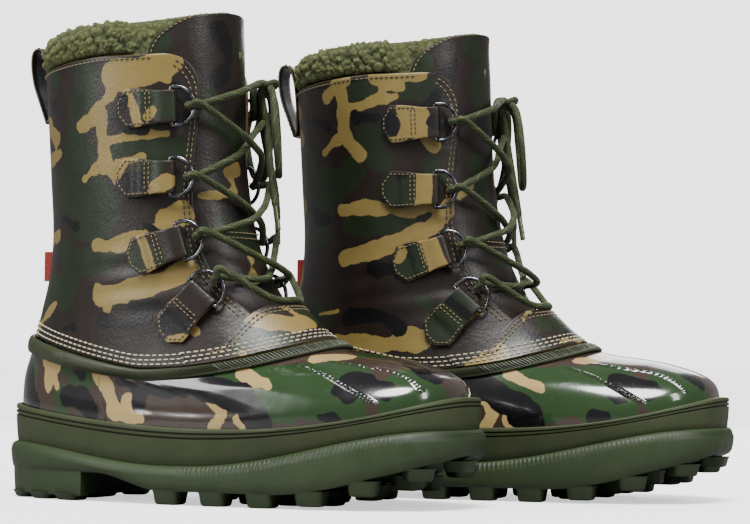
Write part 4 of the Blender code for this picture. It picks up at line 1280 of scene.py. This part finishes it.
def add_rim(boot):
    """The bead on the shell's edge: plain at the back, finely ribbed at the sides, coarsely at the toe."""
    count = 1980
    u, around = even_turns(count, 4.0)
    arc = np.arange(count) / count * around
    stride = np.linalg.norm(skin(u, RIM_TOP) - skin(u, RIM_TOP - 0.5), axis=-1) / 0.5
    front = 0.5 - np.abs(u - 0.5)
    coarse, fine = ramp(front, 0.30, 0.34), ramp(front, 0.13, 0.17)
    turns = 2 * np.pi * arc
    ribs = np.where(coarse > 0.5, np.sin(turns / TOE_RIB_PITCH), np.sin(turns / SIDE_RIB_PITCH) * 0.55)
    ribs = np.clip(ribs * 2.2, -1, 1) * fine
    profile = (
        (1.000, 0.4, 0), (1.045, 1.5, 0), (1.01, 2.2, 0), (0.94, 2.6, 0.4), (0.80, 3.1, 1), (0.60, 3.5, 1),
        (0.40, 3.7, 1), (0.20, 3.5, 1), (0.10, 3.1, 0.4), (0.02, 2.4, 0), (-0.01, 1.6, 0), (0.01, 0.4, 0),
    )
    rings, hollow_shade = [], []
    for drop, height, cut in profile:
        level = RIM_TOP - drop * RIM_HEIGHT / stride
        rings.append(skin(u, level, height / 1000 + cut * RIB_DEPTH * (ribs - fine)))
        # Painted shade in the rib valleys, stronger at the toe.
        hollow_shade.append(cut * np.clip(-ribs, 0, 1) * (0.5 + 0.5 * coarse))
    faces = tube_faces(len(rings), count, loop=True)
    closed_piece(boot, "ribbed_rim", np.concatenate(rings), faces, RIM_LOOK, "sole_rubber",
                 values={"groove": np.concatenate(hollow_shade)}, replaces=("shell_rim",))


# ---- leather upper ---------------------------------------------------------------------
class Stitches:
    """Threads gathered along rows, to become one piece."""

    CREAM, FAWN, DARK = 0.0, 0.5, 1.0
    ALONG = np.array([-0.5, -0.36, 0.0, 0.36, 0.5])
    RISE = np.array([-0.0003, 0.00022, 0.00040, 0.00022, -0.0003])
    TAPER = np.array([0.45, 1.0, 1.06, 1.0, 0.45])
    SIDES = 6

    def __init__(self):
        self.parts, self.shades = [], []

    def row(self, path, normals, length, gap, radius=0.00036, over_tan=None, shade=FAWN):
        """Stitches over a path; those inside a tan patch, where over_tan is above 0, are dark."""
        arc = arc_length(path)
        pitch = length + gap
        for n in range(int(arc[-1] / pitch)):
            places = (n + 0.5) * pitch + self.ALONG * length
            line = at_arc(places, arc, path) + at_arc(places, arc, normals) * self.RISE[:, None]
            steps = len(self.ALONG)
            faces = tube_faces(steps, self.SIDES, caps=True)
            self.parts.append((tube(line, radius * self.TAPER, self.SIDES), faces))
            dark = over_tan is not None and np.interp(places[2], arc, over_tan) > 0
            self.shades += [self.DARK if dark else shade] * (steps * self.SIDES)

    def finish(self, boot, name, **options):
        points, faces = merge(self.parts)
        closed_piece(boot, name, points, faces, THREAD_LOOK, "lace_cord",
                     values={"shade": self.shades}, smooth=60, **options)


def quarter_edge(v):
    """The lacing edge of a quarter, in degrees from the front."""
    v = np.asarray(v, float)
    degrees = 36 + 10 * ramp(-v, -9.4, -7.3) - 16 * ramp(-v, -6.6, -4.4)
    corner = np.clip((v - 9.25) / 0.75, 0, 1)
    return degrees + 24 * (1 - np.sqrt(1 - corner**2))


def vamp_top(degrees):
    """The level of the vamp's upper edge."""
    a = np.abs(np.asarray(degrees, float))
    return 4.13 + 1.02 * (1 - ramp(a, 22, 74)) ** 0.9


def tongue_half(v):
    """Half the tongue's width, in degrees."""
    v = np.asarray(v, float)
    wide = 30 + 38 * ramp(v, 4.6, 7.5)
    crown = np.clip((v - 9.9) / 1.12, 0, 1)
    return wide * np.sqrt(1 - crown**2 * 0.72)


def edge_drop(rows, columns):
    """How far each grid point is let down for a rounded edge: the outermost two lines only."""
    down = np.zeros((rows, columns))
    for n, depth in ((1, 0.00018), (0, 0.00062)):
        down[n, :] = down[-1 - n, :] = depth
        down[:, n] = down[:, -1 - n] = depth
    return down


def leather_piece(boot, name, points, faces, values, **options):
    closed_piece(boot, name, points, faces, LEATHER_LOOK, "camo_leather", values=values, **options)


def leather_panel(boot, name, u, v, top, thick, camo, rim_value, **options):
    """A leather patch over the skin, with soft edges; camo holds its pattern, places and seed."""
    rows, columns = u.shape
    down = edge_drop(rows, columns)
    outer, inner = skin(u, v, top - down), skin(u, v, top - thick + down * 0.4)
    points, faces = sheet(outer, inner)
    values = {key: np.tile(data, 2) for key, data in camouflage(outer, *camo).items()}
    edge = np.concatenate([(down > 0.0005).reshape(-1).astype(float), np.ones(rows * columns)])
    leather_piece(boot, name, points, faces, values | {"rim": edge * rim_value}, **options)


def shaft_folds(u, z):
    """Soft creases: a few rolls at the ankle and a slow unevenness everywhere."""
    degrees = np.abs(u - 0.5) * 360
    ankle = np.exp(-(((z - 0.136) / 0.020) ** 2)) * np.exp(-(((degrees - 62) / 45) ** 2))
    roll = np.sin(z * 420 + degrees * 0.075) * 0.00045 * ankle
    return roll + 0.00030 * ripple(u * 22, z * 46, 0.7) - 0.00015


def add_quarter(boot, name, hand):
    """A leather side, from the back seam to the lacing edge."""
    rows, columns = ((170, 190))
    t = with_edges(columns - 4, 0.006)[None, :]
    w = with_edges(rows - 4, 0.006)[:, None]
    v = LEATHER_FOOT + (SHAFT_TOP - LEATHER_FOOT) * w
    end = 0.5 - quarter_edge(v) / 360
    u = SEAM_TURN + (end - SEAM_TURN) * t
    v = np.broadcast_to(v, u.shape)
    z = ring_point(u, blend_rows(SKIN, v))[..., 2]
    inside = np.clip(np.minimum(w, 1 - w) * 18, 0, 1) * np.clip(np.minimum(t, 1 - t) * 22, 0, 1)
    folds = shaft_folds(u, z) * inside
    pattern, seed = (OUTER_SHAFT, 0.0) if hand > 0 else (INNER_SHAFT, 1.4)
    leather_panel(boot, f"{name}_leather", u if hand > 0 else 1 - u, v, folds, LEATHER - 0.0001,
                  (pattern, on_shaft(hand), seed), 0.75, replaces=(name,))


def add_vamp(boot):
    """The instep leather, lapped over the quarters."""
    rows, columns = ((56, 220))
    degrees = -72 + 144 * with_edges(columns - 4, 0.006)[None, :]
    w = with_edges(rows - 4, 0.012)[:, None]
    v = LEATHER_FOOT + (vamp_top(degrees) + 0.020 - LEATHER_FOOT) * w
    u = np.broadcast_to(angle_u(degrees), v.shape)
    bulge = 0.0007 * np.exp(-((degrees / 26) ** 2)) + 0.0003 * ripple(u * 40, v * 5, 2.0)
    height = VAMP_HEIGHT + bulge * np.sin(np.pi * w)
    leather_panel(boot, "vamp_leather", u, v, height, LEATHER, (VAMP, on_vamp, 4.0), 0.8,
                  smooth=50, replaces=("vamp",))


def add_tongue(boot):
    """The gusseted tongue, standing above the quarters and bowed at its top."""
    rows, columns = ((150, 110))
    w = with_edges(rows - 4, 0.006)[:, None]
    v = 4.55 + (10.98 - 4.55) * w
    t = -1 + 2 * with_edges(columns - 4, 0.008)[None, :]
    u = angle_u(tongue_half(v) * t)
    v = np.broadcast_to(v, u.shape)
    z = ring_point(u, blend_rows(SKIN, v))[..., 2]
    inside = np.clip(np.minimum(w, 1 - w) * 14, 0, 1) * np.clip((1 - np.abs(t)) * 8, 0, 1)
    folds = (0.0005 * ripple(u * 30, z * 60, 5.0) - 0.0003) * inside
    seam = -0.0005 * np.exp(-(((z - 0.166) / 0.0008) ** 2))
    height = TONGUE_HEIGHT + folds + seam
    leather_panel(boot, "tongue_leather", u, v, height, 0.0017, (TONGUE, on_shaft(1), 6.0), 0.5,
                  replaces=("tongue",))


def add_stitching(boot):
    """Every thread that rides on the boot: rim rows, hems, lacing edges, vamp and tongue."""
    threads = Stitches()
    u = np.linspace(0.004, 0.996, 900)
    stride = np.linalg.norm(skin(u, 4.8) - skin(u, 4.2), axis=-1) / 0.6
    degrees = np.abs(u - 0.5) * 360
    for rise in (0.0030, 0.0062, 0.0094):
        v = RIM_TOP + 0.03 + rise / stride
        over = np.where(degrees < 72, VAMP_HEIGHT, 0.0)
        path, normals = skin_and_normal(u, v, over)
        threads.row(path, normals, 0.0030, 0.0014, radius=0.00048, shade=threads.CREAM)
    for hand, pattern in ((1, OUTER_SHAFT), (-1, INNER_SHAFT)):
        place = on_shaft(hand)
        v = np.linspace(5.05, 9.98, 260)
        for inset in (3.0, 5.8):
            bend = np.clip(v, None, 9.98 - inset * 0.0011 / 0.034)
            edge = angle_u((quarter_edge(np.clip(bend + inset * 0.02, None, 9.985)) + inset) * hand)
            path, normals = skin_and_normal(edge, bend, 0.0)
            threads.row(path, normals, 0.0024, 0.0011, over_tan=tan_depth(path, pattern, place))
        hem = np.linspace(64, 176, 200)
        path, normals = skin_and_normal(angle_u(hem * hand), np.full(200, 9.91), 0.0)
        threads.row(path, normals, 0.0023, 0.0011, over_tan=tan_depth(path, pattern, place))
    around = np.linspace(-69, 69, 300)
    stride = np.linalg.norm(skin(angle_u(around), 4.9) - skin(angle_u(around), 4.4), axis=-1) / 0.5
    for inset, reach in ((0.0028, 62), (0.0056, 58)):
        v = np.maximum(vamp_top(around) - inset / stride, 4.34)
        keep = np.abs(around) < reach
        path, normals = skin_and_normal(angle_u(around[keep]), v[keep], VAMP_HEIGHT + 0.0002)
        threads.row(path, normals, 0.0023, 0.0011, over_tan=tan_depth(path, VAMP, on_vamp))
    across = np.linspace(-30, 30, 60)
    for z in (0.1640, 0.1672):
        path, normals = skin_and_normal(angle_u(across), level_at(angle_u(across), z), TONGUE_HEIGHT)
        threads.row(path, normals, 0.0022, 0.0010)
    crown = np.linspace(9.9, 10.93, 90)
    for hand in (1, -1):
        edge = angle_u((tongue_half(crown) - 3.0) * hand)
        path, normals = skin_and_normal(edge, crown, TONGUE_HEIGHT)
        threads.row(path, normals, 0.0022, 0.0011)
    threads.finish(boot, "stitching")


def add_back_seam(boot):
    """The binding strip over the back seam, from the rim to the pull loop."""
    v = np.linspace(4.16, 9.96, 120)[:, None]
    across = np.linspace(-1, 1, 15)[None, :]
    half = 0.0046 + 0.0006 * np.sin(v * 1.3)
    spread = np.linalg.norm(skin(0.004, v) - skin(-0.004, v), axis=-1) / 0.008
    u = across * half / spread
    crown = 0.0011 * np.sqrt(np.clip(1 - np.abs(across) ** 3.2, 0, 1)) + 0.0001
    outer, inner = skin(u, v, crown), skin(u, v, -0.0002)
    camo = camouflage(outer, OUTER_SHAFT, on_shaft(1), 2.4)
    rim = np.zeros(u.size)
    rim[border(*u.shape)] = 0.7
    values = {key: np.tile(data, 2) for key, data in (camo | {"rim": rim}).items()}
    leather_piece(boot, "back_binding", *sheet(outer, inner), values)


# ---- tabs and rings --------------------------------------------------------------------
# Strokes on a tab, by its side and row: (half width in mm, points as (mm along the tab from the
# ring's bar, mm across)).
TAB_CAMO = {
    (1, 0): {
        "tan": ((3.4, (-28, 9), (-23, 1), (-21, -9)), (3.2, (-14, -6), (-11, -3))),
        "green": ((8.0, (-13, 4), (-4, 0)),),
        "black": ((4.6, (-33, 0), (-31, 5)),),
    },
    (1, 1): {
        "tan": ((3.0, (-35, 2), (-28, 11), (-22, 12)), (5.0, (-8, -8), (-2, -3))),
        "green": ((7.0, (-14, 5), (-9, 8)),),
        "black": ((6.0, (-26, -3), (-20, -2)),),
    },
    (1, 2): {
        "tan": ((3.4, (-22, 12), (-21, -12)),),
        "green": ((8.0, (-32, 2), (-29, -2)), (4.0, (-14, -8), (-14, -4))),
        "black": (),
    },
    (1, 3): {
        "tan": ((4.0, (-34, -6), (-27, -12)),),
        "green": (),
        "black": ((8.0, (-25, 3), (-20, -2)),),
    },
    (-1, 0): {
        "tan": ((9.0, (-24, -4), (-12, 2)), (5.0, (-20, 10), (-10, 10), (-10, -10))),
        "green": (),
        "black": ((7.5, (-31, 1), (-29, -1)), (5.0, (-1, 0), (2, 0))),
    },
    (-1, 1): {
        "tan": ((5.0, (-6, 10), (-7, -10)),),
        "green": ((11.0, (-30, 0), (-18, 0)),),
        "black": ((3.0, (-22, 9), (-15, 12)),),
    },
    (-1, 2): {
        "tan": ((3.6, (-30, 4), (-26, 8)), (6.0, (-8, 8), (-7, -9))),
        "green": ((10.0, (-26, -2), (-16, 0)),),
        "black": (),
    },
    (-1, 3): {
        "tan": (),
        "green": ((12.0, (-28, 0), (-10, 0)),),
        "black": ((2.6, (-8, 10), (-7, -10)),),
    },
}


TAB_INSET = 0.0019


def tab_outline():
    """The strip's line in section: x from the bar, height over the leather, and half width."""
    low = 0.0008 + STRAP / 2
    turn = RING_WIRE + 0.0004 + STRAP / 2
    lower = BAR_HEIGHT - turn
    top = [(-TAB_LENGTH, low), (-0.0290, low), (-0.0235, low + 0.0003), (-0.0180, lower + 0.0021)]
    top += [(-0.0110, lower + 0.0027), (-0.0050, BAR_HEIGHT + turn * 0.86), (0.0, BAR_HEIGHT + turn)]
    bend = []
    for a in (math.radians(45), 0.0, math.radians(-45)):
        bend.append((turn * math.cos(a), BAR_HEIGHT + turn * math.sin(a)))
    tail = [(0.0, lower), (-0.0060, lower), (-0.0160, lower)]
    return np.array(top + bend + tail), len(top)


def tab_half_width(x, on_top):
    """The pentagon's half width: a blunt tip, a wide body and a narrower fold."""
    body = TAB_FOLD_HALF_WIDTH + (TAB_HALF_WIDTH - TAB_FOLD_HALF_WIDTH) * ramp(-x, 0.004, 0.024)
    from_end = np.clip((x + TAB_LENGTH) / 0.0070, 0, 1)
    tip = TAB_TIP_HALF_WIDTH + (TAB_HALF_WIDTH - TAB_TIP_HALF_WIDTH) * from_end
    return np.where(on_top, np.minimum(body, tip), TAB_FOLD_HALF_WIDTH)


def on_tab(stops):
    return np.column_stack([stops / 1000, np.zeros(len(stops))])


def tab_stitching(seat, line, pattern, threads):
    """A row round a tab's blunt end and two rows across it; line is its section's upper side."""
    wide, end = TAB_HALF_WIDTH - 0.0024, TAB_HALF_WIDTH - 0.0026
    corners = [(-0.0125, wide), (-0.0285, TAB_HALF_WIDTH - TAB_INSET)]
    corners.append((-TAB_LENGTH + TAB_INSET, TAB_TIP_HALF_WIDTH - 0.0006))
    corners += [(x, -w) for x, w in reversed(corners)]
    for stops in (corners, [(-0.0125, wide), (-0.0125, -wide)], [(-0.0150, end), (-0.0150, -end)]):
        stops = np.array(stops)
        arc = arc_length(stops)
        x, y = at_arc(np.linspace(0, arc[-1], 90), arc, stops).T
        height = np.interp(x, line[:, 0], line[:, 1]) + STRAP / 2
        path = seat.tab_points(x, y, height)
        lifted = seat.tab_points(x, y, height + 0.001)
        tan = distance_inside(np.column_stack([x, y, np.zeros(90)]), pattern["tan"], on_tab)
        threads.row(path, (lifted - path) / 0.001, 0.0019, 0.0010, radius=0.00032, over_tan=tan)


def add_tab(boot, seat, hand, row, label, threads):
    """A pentagonal leather tab folded round the ring's bar."""
    outline, top_count = tab_outline()
    rows = 90
    places = np.concatenate([[0, 0.03, 0.08], np.linspace(0.14, len(outline) - 1, rows)])
    line = blend_rows(outline, places)
    along = unit(np.gradient(line, axis=0))
    normal = np.column_stack([-along[:, 1], along[:, 0]])
    across = np.array([0.25, 0.5, 0.7, 0.86, 0.95, 0.985, 1])
    across = np.concatenate([-across[::-1], [0], across])
    half = tab_half_width(line[:, 0], places < top_count)[:, None]
    y = across[None, :] * half
    depth = np.ones(y.shape)
    depth[:, [0, -1]], depth[:, [1, -2]] = 0.35, 0.8
    depth[0], depth[1] = 0.35, np.minimum(depth[1], 0.8)
    grids = []
    for side in (1, -1):
        offset = side * STRAP / 2 * depth
        x, height = (line[:, [k]] + normal[:, [k]] * offset for k in range(2))
        grids.append(seat.tab_points(x, y, height))
    flat = np.stack([np.broadcast_to(line[:, :1], y.shape), y, np.zeros(y.shape)], axis=-1)
    flat = flat.reshape(-1, 3)
    drift = 0.0006 * ripple(flat[:, 0] * 420, flat[:, 1] * 420, row + 3.0 * hand)
    pattern = TAB_CAMO[(hand, row)]
    rim = np.zeros(y.shape)
    rim[:, [0, -1]] = rim[0] = 0.6
    values = {"rim": np.tile(rim.reshape(-1), 2)}
    for key, strokes in pattern.items():
        values[key] = np.tile(distance_inside(flat, strokes, on_tab) + drift, 2)
    leather_piece(boot, f"tab_{label}_{row + 1}", *sheet(*grids), values,
                  replaces=(f"ring_tab_{label}_{row + 1}",))
    tab_stitching(seat, line[places < top_count - 1], pattern, threads)


RING_OUTLINE = ((0.0, -0.0105), (0.0, 0.0), (0.0, 0.0105), (0.0022, 0.01175), (0.0062, 0.0115))
RING_OUTLINE += ((0.0102, 0.0093), (0.0133, 0.0052), (RING_DEPTH, 0.0))
RING_OUTLINE += tuple((x, -y) for x, y in RING_OUTLINE[-2:2:-1])


def add_ring(boot, seat, label, row):
    """A D-ring of drawn wire, its bar inside the tab's fold."""
    stops = np.array(RING_OUTLINE)
    count = 96
    closed = np.concatenate([stops[-1:], stops, stops[:2]])
    at = 1 + np.linspace(0, len(stops), count, endpoint=False)
    flat = blend_rows(closed, at)
    path = np.array([seat.ring_point(x, y) for x, y in flat])
    face = unit(np.cross(seat.ring_point(1, 0) - seat.bar, seat.up))
    sides = 18
    turns = 2 * np.pi * np.arange(sides) / sides
    rings = []
    for i in range(count):
        side = unit(np.cross(path[(i + 1) % count] - path[i - 1], face))
        round_wire = np.cos(turns)[:, None] * side + np.sin(turns)[:, None] * face
        rings.append(path[i] + RING_WIRE * round_wire)
    node = f"d_ring_{label}_{row + 1}"
    faces = tube_faces(count, sides, loop=True)
    closed_piece(boot, f"wire_{node}", np.concatenate(rings), faces, STEEL_LOOK, "ring_steel",
                 body=f"{node}_{boot.name}", smooth=60, replaces=(node,))


# ---- liner, fleece and small parts -----------------------------------------------------
LINER_OUTER = 0.0068
LINER_INNER = 0.0122


def add_liner(boot):
    """The felt inner boot, seen down the shaft."""
    count = 200
    u = np.arange(count) / count
    heights = np.linspace(1.0, 9.65, 26)
    bottom = skin(u, 0.5, -LINER_OUTER)
    bottom[:, 2] = groove_z(bottom[:, 0]) + 0.0128
    floor = skin(u, 0.5, -LINER_INNER)
    floor[:, 2] = groove_z(floor[:, 0]) + 0.0185
    rings = [bottom] + [skin(u, v, -LINER_OUTER - 0.0003) for v in heights]
    for v in heights[::-1]:
        rings.append(skin(u, v, -LINER_INNER + 0.0004 * ripple(u * 90, np.full(count, v * 9), 3.0)))
    rings.append(floor)
    faces = tube_faces(len(rings), count) + strip_cap(count, 0) + strip_cap(count, (len(rings) - 1) * count)
    closed_piece(boot, "felt_liner", np.concatenate(rings), faces, FELT_LOOK, "felt", replaces=("liner",))
    rings = []
    for rise, inset in ((0.0070, -0.0052), (0.0074, -0.0048), (0.0110, -0.0048), (0.0114, -0.0052)):
        ring = skin(u, 0.3, inset)
        ring[:, 2] = groove_z(ring[:, 0]) + rise
        rings.append(ring)
    faces = tube_faces(4, count) + strip_cap(count, 0) + strip_cap(count, 3 * count)
    closed_piece(boot, "felt_footbed", np.concatenate(rings), faces, FELT_LOOK, "felt", replaces=("footbed",))


FLEECE_AREA = 0.0252


def tufts(points, spacing, seed):
    """Curly pile: how high each point stands, from 0 between the curls to 1 on top of one."""
    draw = np.random.default_rng(seed)
    count = len(points)
    picks = draw.choice(count, size=min(count, int(FLEECE_AREA / spacing**2)), replace=False)
    centres = points[picks] + draw.normal(0, spacing * 0.12, (len(picks), 3))
    tree = kdtree.KDTree(len(centres))
    for i, centre in enumerate(centres):
        tree.insert(centre, i)
    tree.balance()
    height = np.empty(count)
    for i, point in enumerate(points):
        found = tree.find_n(point, 2)
        near, second = found[0][2], found[1][2]
        valley = min(max((second - near) / spacing * 1.35, 0), 1)
        dome = min(max(1 - (near / spacing) ** 2, 0), 1)
        height[i] = valley * 0.5 + dome * 0.5
    return height


# The cuff's section: (level, mm over the skin under the tongue, mm over it elsewhere).
CUFF_SECTION = (
    (9.72, -6.8, -6.8), (10.03, -6.8, -6.4), (10.12, -6.6, -2.0), (10.30, -6.2, -1.3),
    (10.62, -6.2, -1.6), (10.86, -7.0, -4.0), (11.0, -8.6, -7.6), (10.98, -11.0, -11.0),
    (10.8, -13.4, -13.4), (10.4, -14.6, -14.6), (9.95, -14.6, -14.6), (9.72, -11.5, -11.5),
)


def add_fleece(boot):
    """The deep curly fleece of the liner's cuff, swelling over the leather."""
    count, rows = ((760, 92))
    u = even_turns(count, 10.5)[0]
    degrees = np.abs(u - 0.5) * 360
    free = ramp(degrees, 72, 86)
    fine = blend_rows(CUFF_SECTION, np.linspace(0, len(CUFF_SECTION) - 1, rows))
    rings = []
    for v, held, loose in fine:
        rings.append(skin(u, min(v, 10.99), (held + (loose - held) * free) / 1000))
    rings = np.array(rings)
    base = rings.reshape(-1, 3)
    around = np.roll(rings, -1, axis=1) - np.roll(rings, 1, axis=1)
    upward = np.gradient(rings, axis=0)
    normal = unit(np.cross(around, upward))
    centre = rings.mean(axis=0, keepdims=True)
    normal *= np.sign((normal * (rings - centre)).sum(-1, keepdims=True))
    coarse = tufts(base, 0.0044, 11 + boot.side).reshape(rows, count)
    small = tufts(base, 0.0020, 31 + boot.side).reshape(rows, count)
    # tip drives the pile's height and the painted shade between the curls.
    tip = np.clip(0.62 * coarse + 0.38 * small, 0, 1)
    stops, rooms = (0, 0.16, 0.24, 0.62, 0.9, 1.0), (0.1, 0.35, 1.0, 1.0, 0.5, 0.1)
    room = np.interp(np.arange(rows) / (rows - 1), stops, rooms)[:, None]
    pile = (0.0036 * coarse + 0.0020 * small - 0.0012) * room
    outward_room = np.where(free[None, :] > 0.5, 1.0, 0.42)
    curl = ripple(base[:, 0] * 900, base[:, 2] * 900, 8.0).reshape(rows, count)
    curl = 0.0011 * curl * coarse * room
    points = rings + normal * (pile * outward_room)[..., None] + unit(upward) * curl[..., None]
    faces = tube_faces(rows, count, loop=True)
    closed_piece(boot, "fleece_cuff", points.reshape(-1, 3), faces, FLEECE_LOOK, "fleece", smooth=0,
                 values={"tip": tip.reshape(-1)}, replaces=("liner_cuff",))


def add_heel_loop(boot):
    """The leather pull loop at the back seam, with its edge stitching."""
    path = ((0.0004, 0.243), (0.0012, 0.262), (0.0030, 0.276), (0.0070, 0.2855), (0.0125, 0.2850))
    path += ((0.0140, 0.277), (0.0120, 0.264), (0.0076, 0.252), (0.0032, 0.2405))
    back = float(skin(0.0, level_at(0.0, 0.25))[0])
    stops = np.array([(back - 0.0004 - out, z) for out, z in path] + [(back - 0.0004 - 0.0026, 0.239)])
    closed = np.concatenate([stops[-1:], stops, stops[:2]])
    count = 140
    line = blend_rows(closed, 1 + np.linspace(0, len(stops), count, endpoint=False))
    along = unit(np.roll(line, -1, axis=0) - np.roll(line, 1, axis=0))
    normal = np.column_stack([along[:, 1], -along[:, 0]])
    middle = line.mean(axis=0)
    if ((line - middle) * normal).sum() < 0:
        normal = -normal
    half = 0.0095
    across = [(-1.0, 0.25), (-0.985, 0.7), (-0.94, 1.0), (-0.5, 1.0)]
    across += [(0.0, 1.0)] + [(-y, depth) for y, depth in reversed(across)]
    section = [(y * half, depth * STRAP / 2) for y, depth in across]
    section += [(y, -depth) for y, depth in reversed(section)]
    rings = []
    for y, offset in section:
        edge = line + normal * offset
        rings.append(np.column_stack([edge[:, 0], np.full(count, y), edge[:, 1]]))
    rim = np.zeros((len(section), count))
    rim[[0, 8, 9, 17]] = 0.35
    values = {"rim": rim.reshape(-1)}
    for key, depth in (("tan", OUTSIDE), ("green", OUTSIDE), ("black", INSIDE)):
        values[key] = np.full(rim.size, depth)
    body = f"heel_loop_{boot.name}"
    faces = tube_faces(len(rings), count, loop=True)
    leather_piece(boot, "pull_loop", np.concatenate(rings), faces, values, body=body, smooth=50,
                  replaces=("heel_loop",))
    threads = Stitches()
    for y in (-0.0075, 0.0075):
        edge = line + normal * STRAP / 2
        row = np.column_stack([edge[:, 0], np.full(count, y), edge[:, 1]])
        lift = np.column_stack([normal[:, 0], np.zeros(count), normal[:, 1]])
        threads.row(row[2:-4], lift[2:-4], 0.0022, 0.0012)
    threads.finish(boot, "loop_stitching", body=body)


def add_side_tape(boot):
    """A small folded tape caught in the back seam."""
    low, high, reach = 0.137, 0.156, 0.0065
    level = float(level_at(0.012, (low + high) / 2))
    foot = skin(0.012, level, 0.0005)
    turns = np.linspace(-np.pi / 2, np.pi / 2, 9)
    bend = [(0.0001 - reach - 0.0011 * math.cos(a), 0.0007 + 0.0007 * math.sin(a)) for a in turns]
    fold = [(-0.0010, -0.0001)] + bend + [(-0.0010, 0.0015)]
    inner = [(x * 0.90 - 0.0001, 0.0007 + (y - 0.0007) * 0.35) for x, y in fold]
    loop = np.array(fold + inner[::-1])
    rings = []
    for z, trim in ((low, 0.96), (low + 0.0004, 1.0), (high - 0.0004, 1.0), (high, 0.96)):
        x, y = foot[0] + loop[:, 0] * trim, foot[1] + loop[:, 1] + 0.0004
        rings.append(np.column_stack([x, y, np.full(len(loop), z)]))
    faces = tube_faces(4, len(loop))
    size = len(fold)
    for start, flip in ((0, True), (3 * len(loop), False)):
        for i in range(size - 1):
            face = (start + i, start + i + 1, start + len(loop) - 2 - i, start + len(loop) - 1 - i)
            faces.append(face[::-1] if flip else face)
    closed_piece(boot, "seam_tape", np.concatenate(rings), faces, TAPE_LOOK, "tape", replaces=("side_tape",))


def add_boot(name, side):
    boot = Boot(name, side)
    seats = {hand: [RingSeat(row, hand) for row in range(4)] for hand in (1, -1)}
    add_lace(boot, seats)
    add_outsole(boot)
    add_band(boot)
    add_shell(boot)
    add_rim(boot)
    add_quarter(boot, "quarter_outer", 1)
    add_quarter(boot, "quarter_inner", -1)
    add_vamp(boot)
    add_tongue(boot)
    add_stitching(boot)
    add_back_seam(boot)
    threads = Stitches()
    for hand, label in ((1, "outer"), (-1, "inner")):
        for row, seat in enumerate(seats[hand]):
            add_tab(boot, seat, hand, row, label, threads)
            add_ring(boot, seat, label, row)
    threads.finish(boot, "tab_stitching")
    add_liner(boot)
    add_fleece(boot)
    add_heel_loop(boot)
    add_side_tape(boot)


add_boot("right", -1)
add_boot("left", 1)
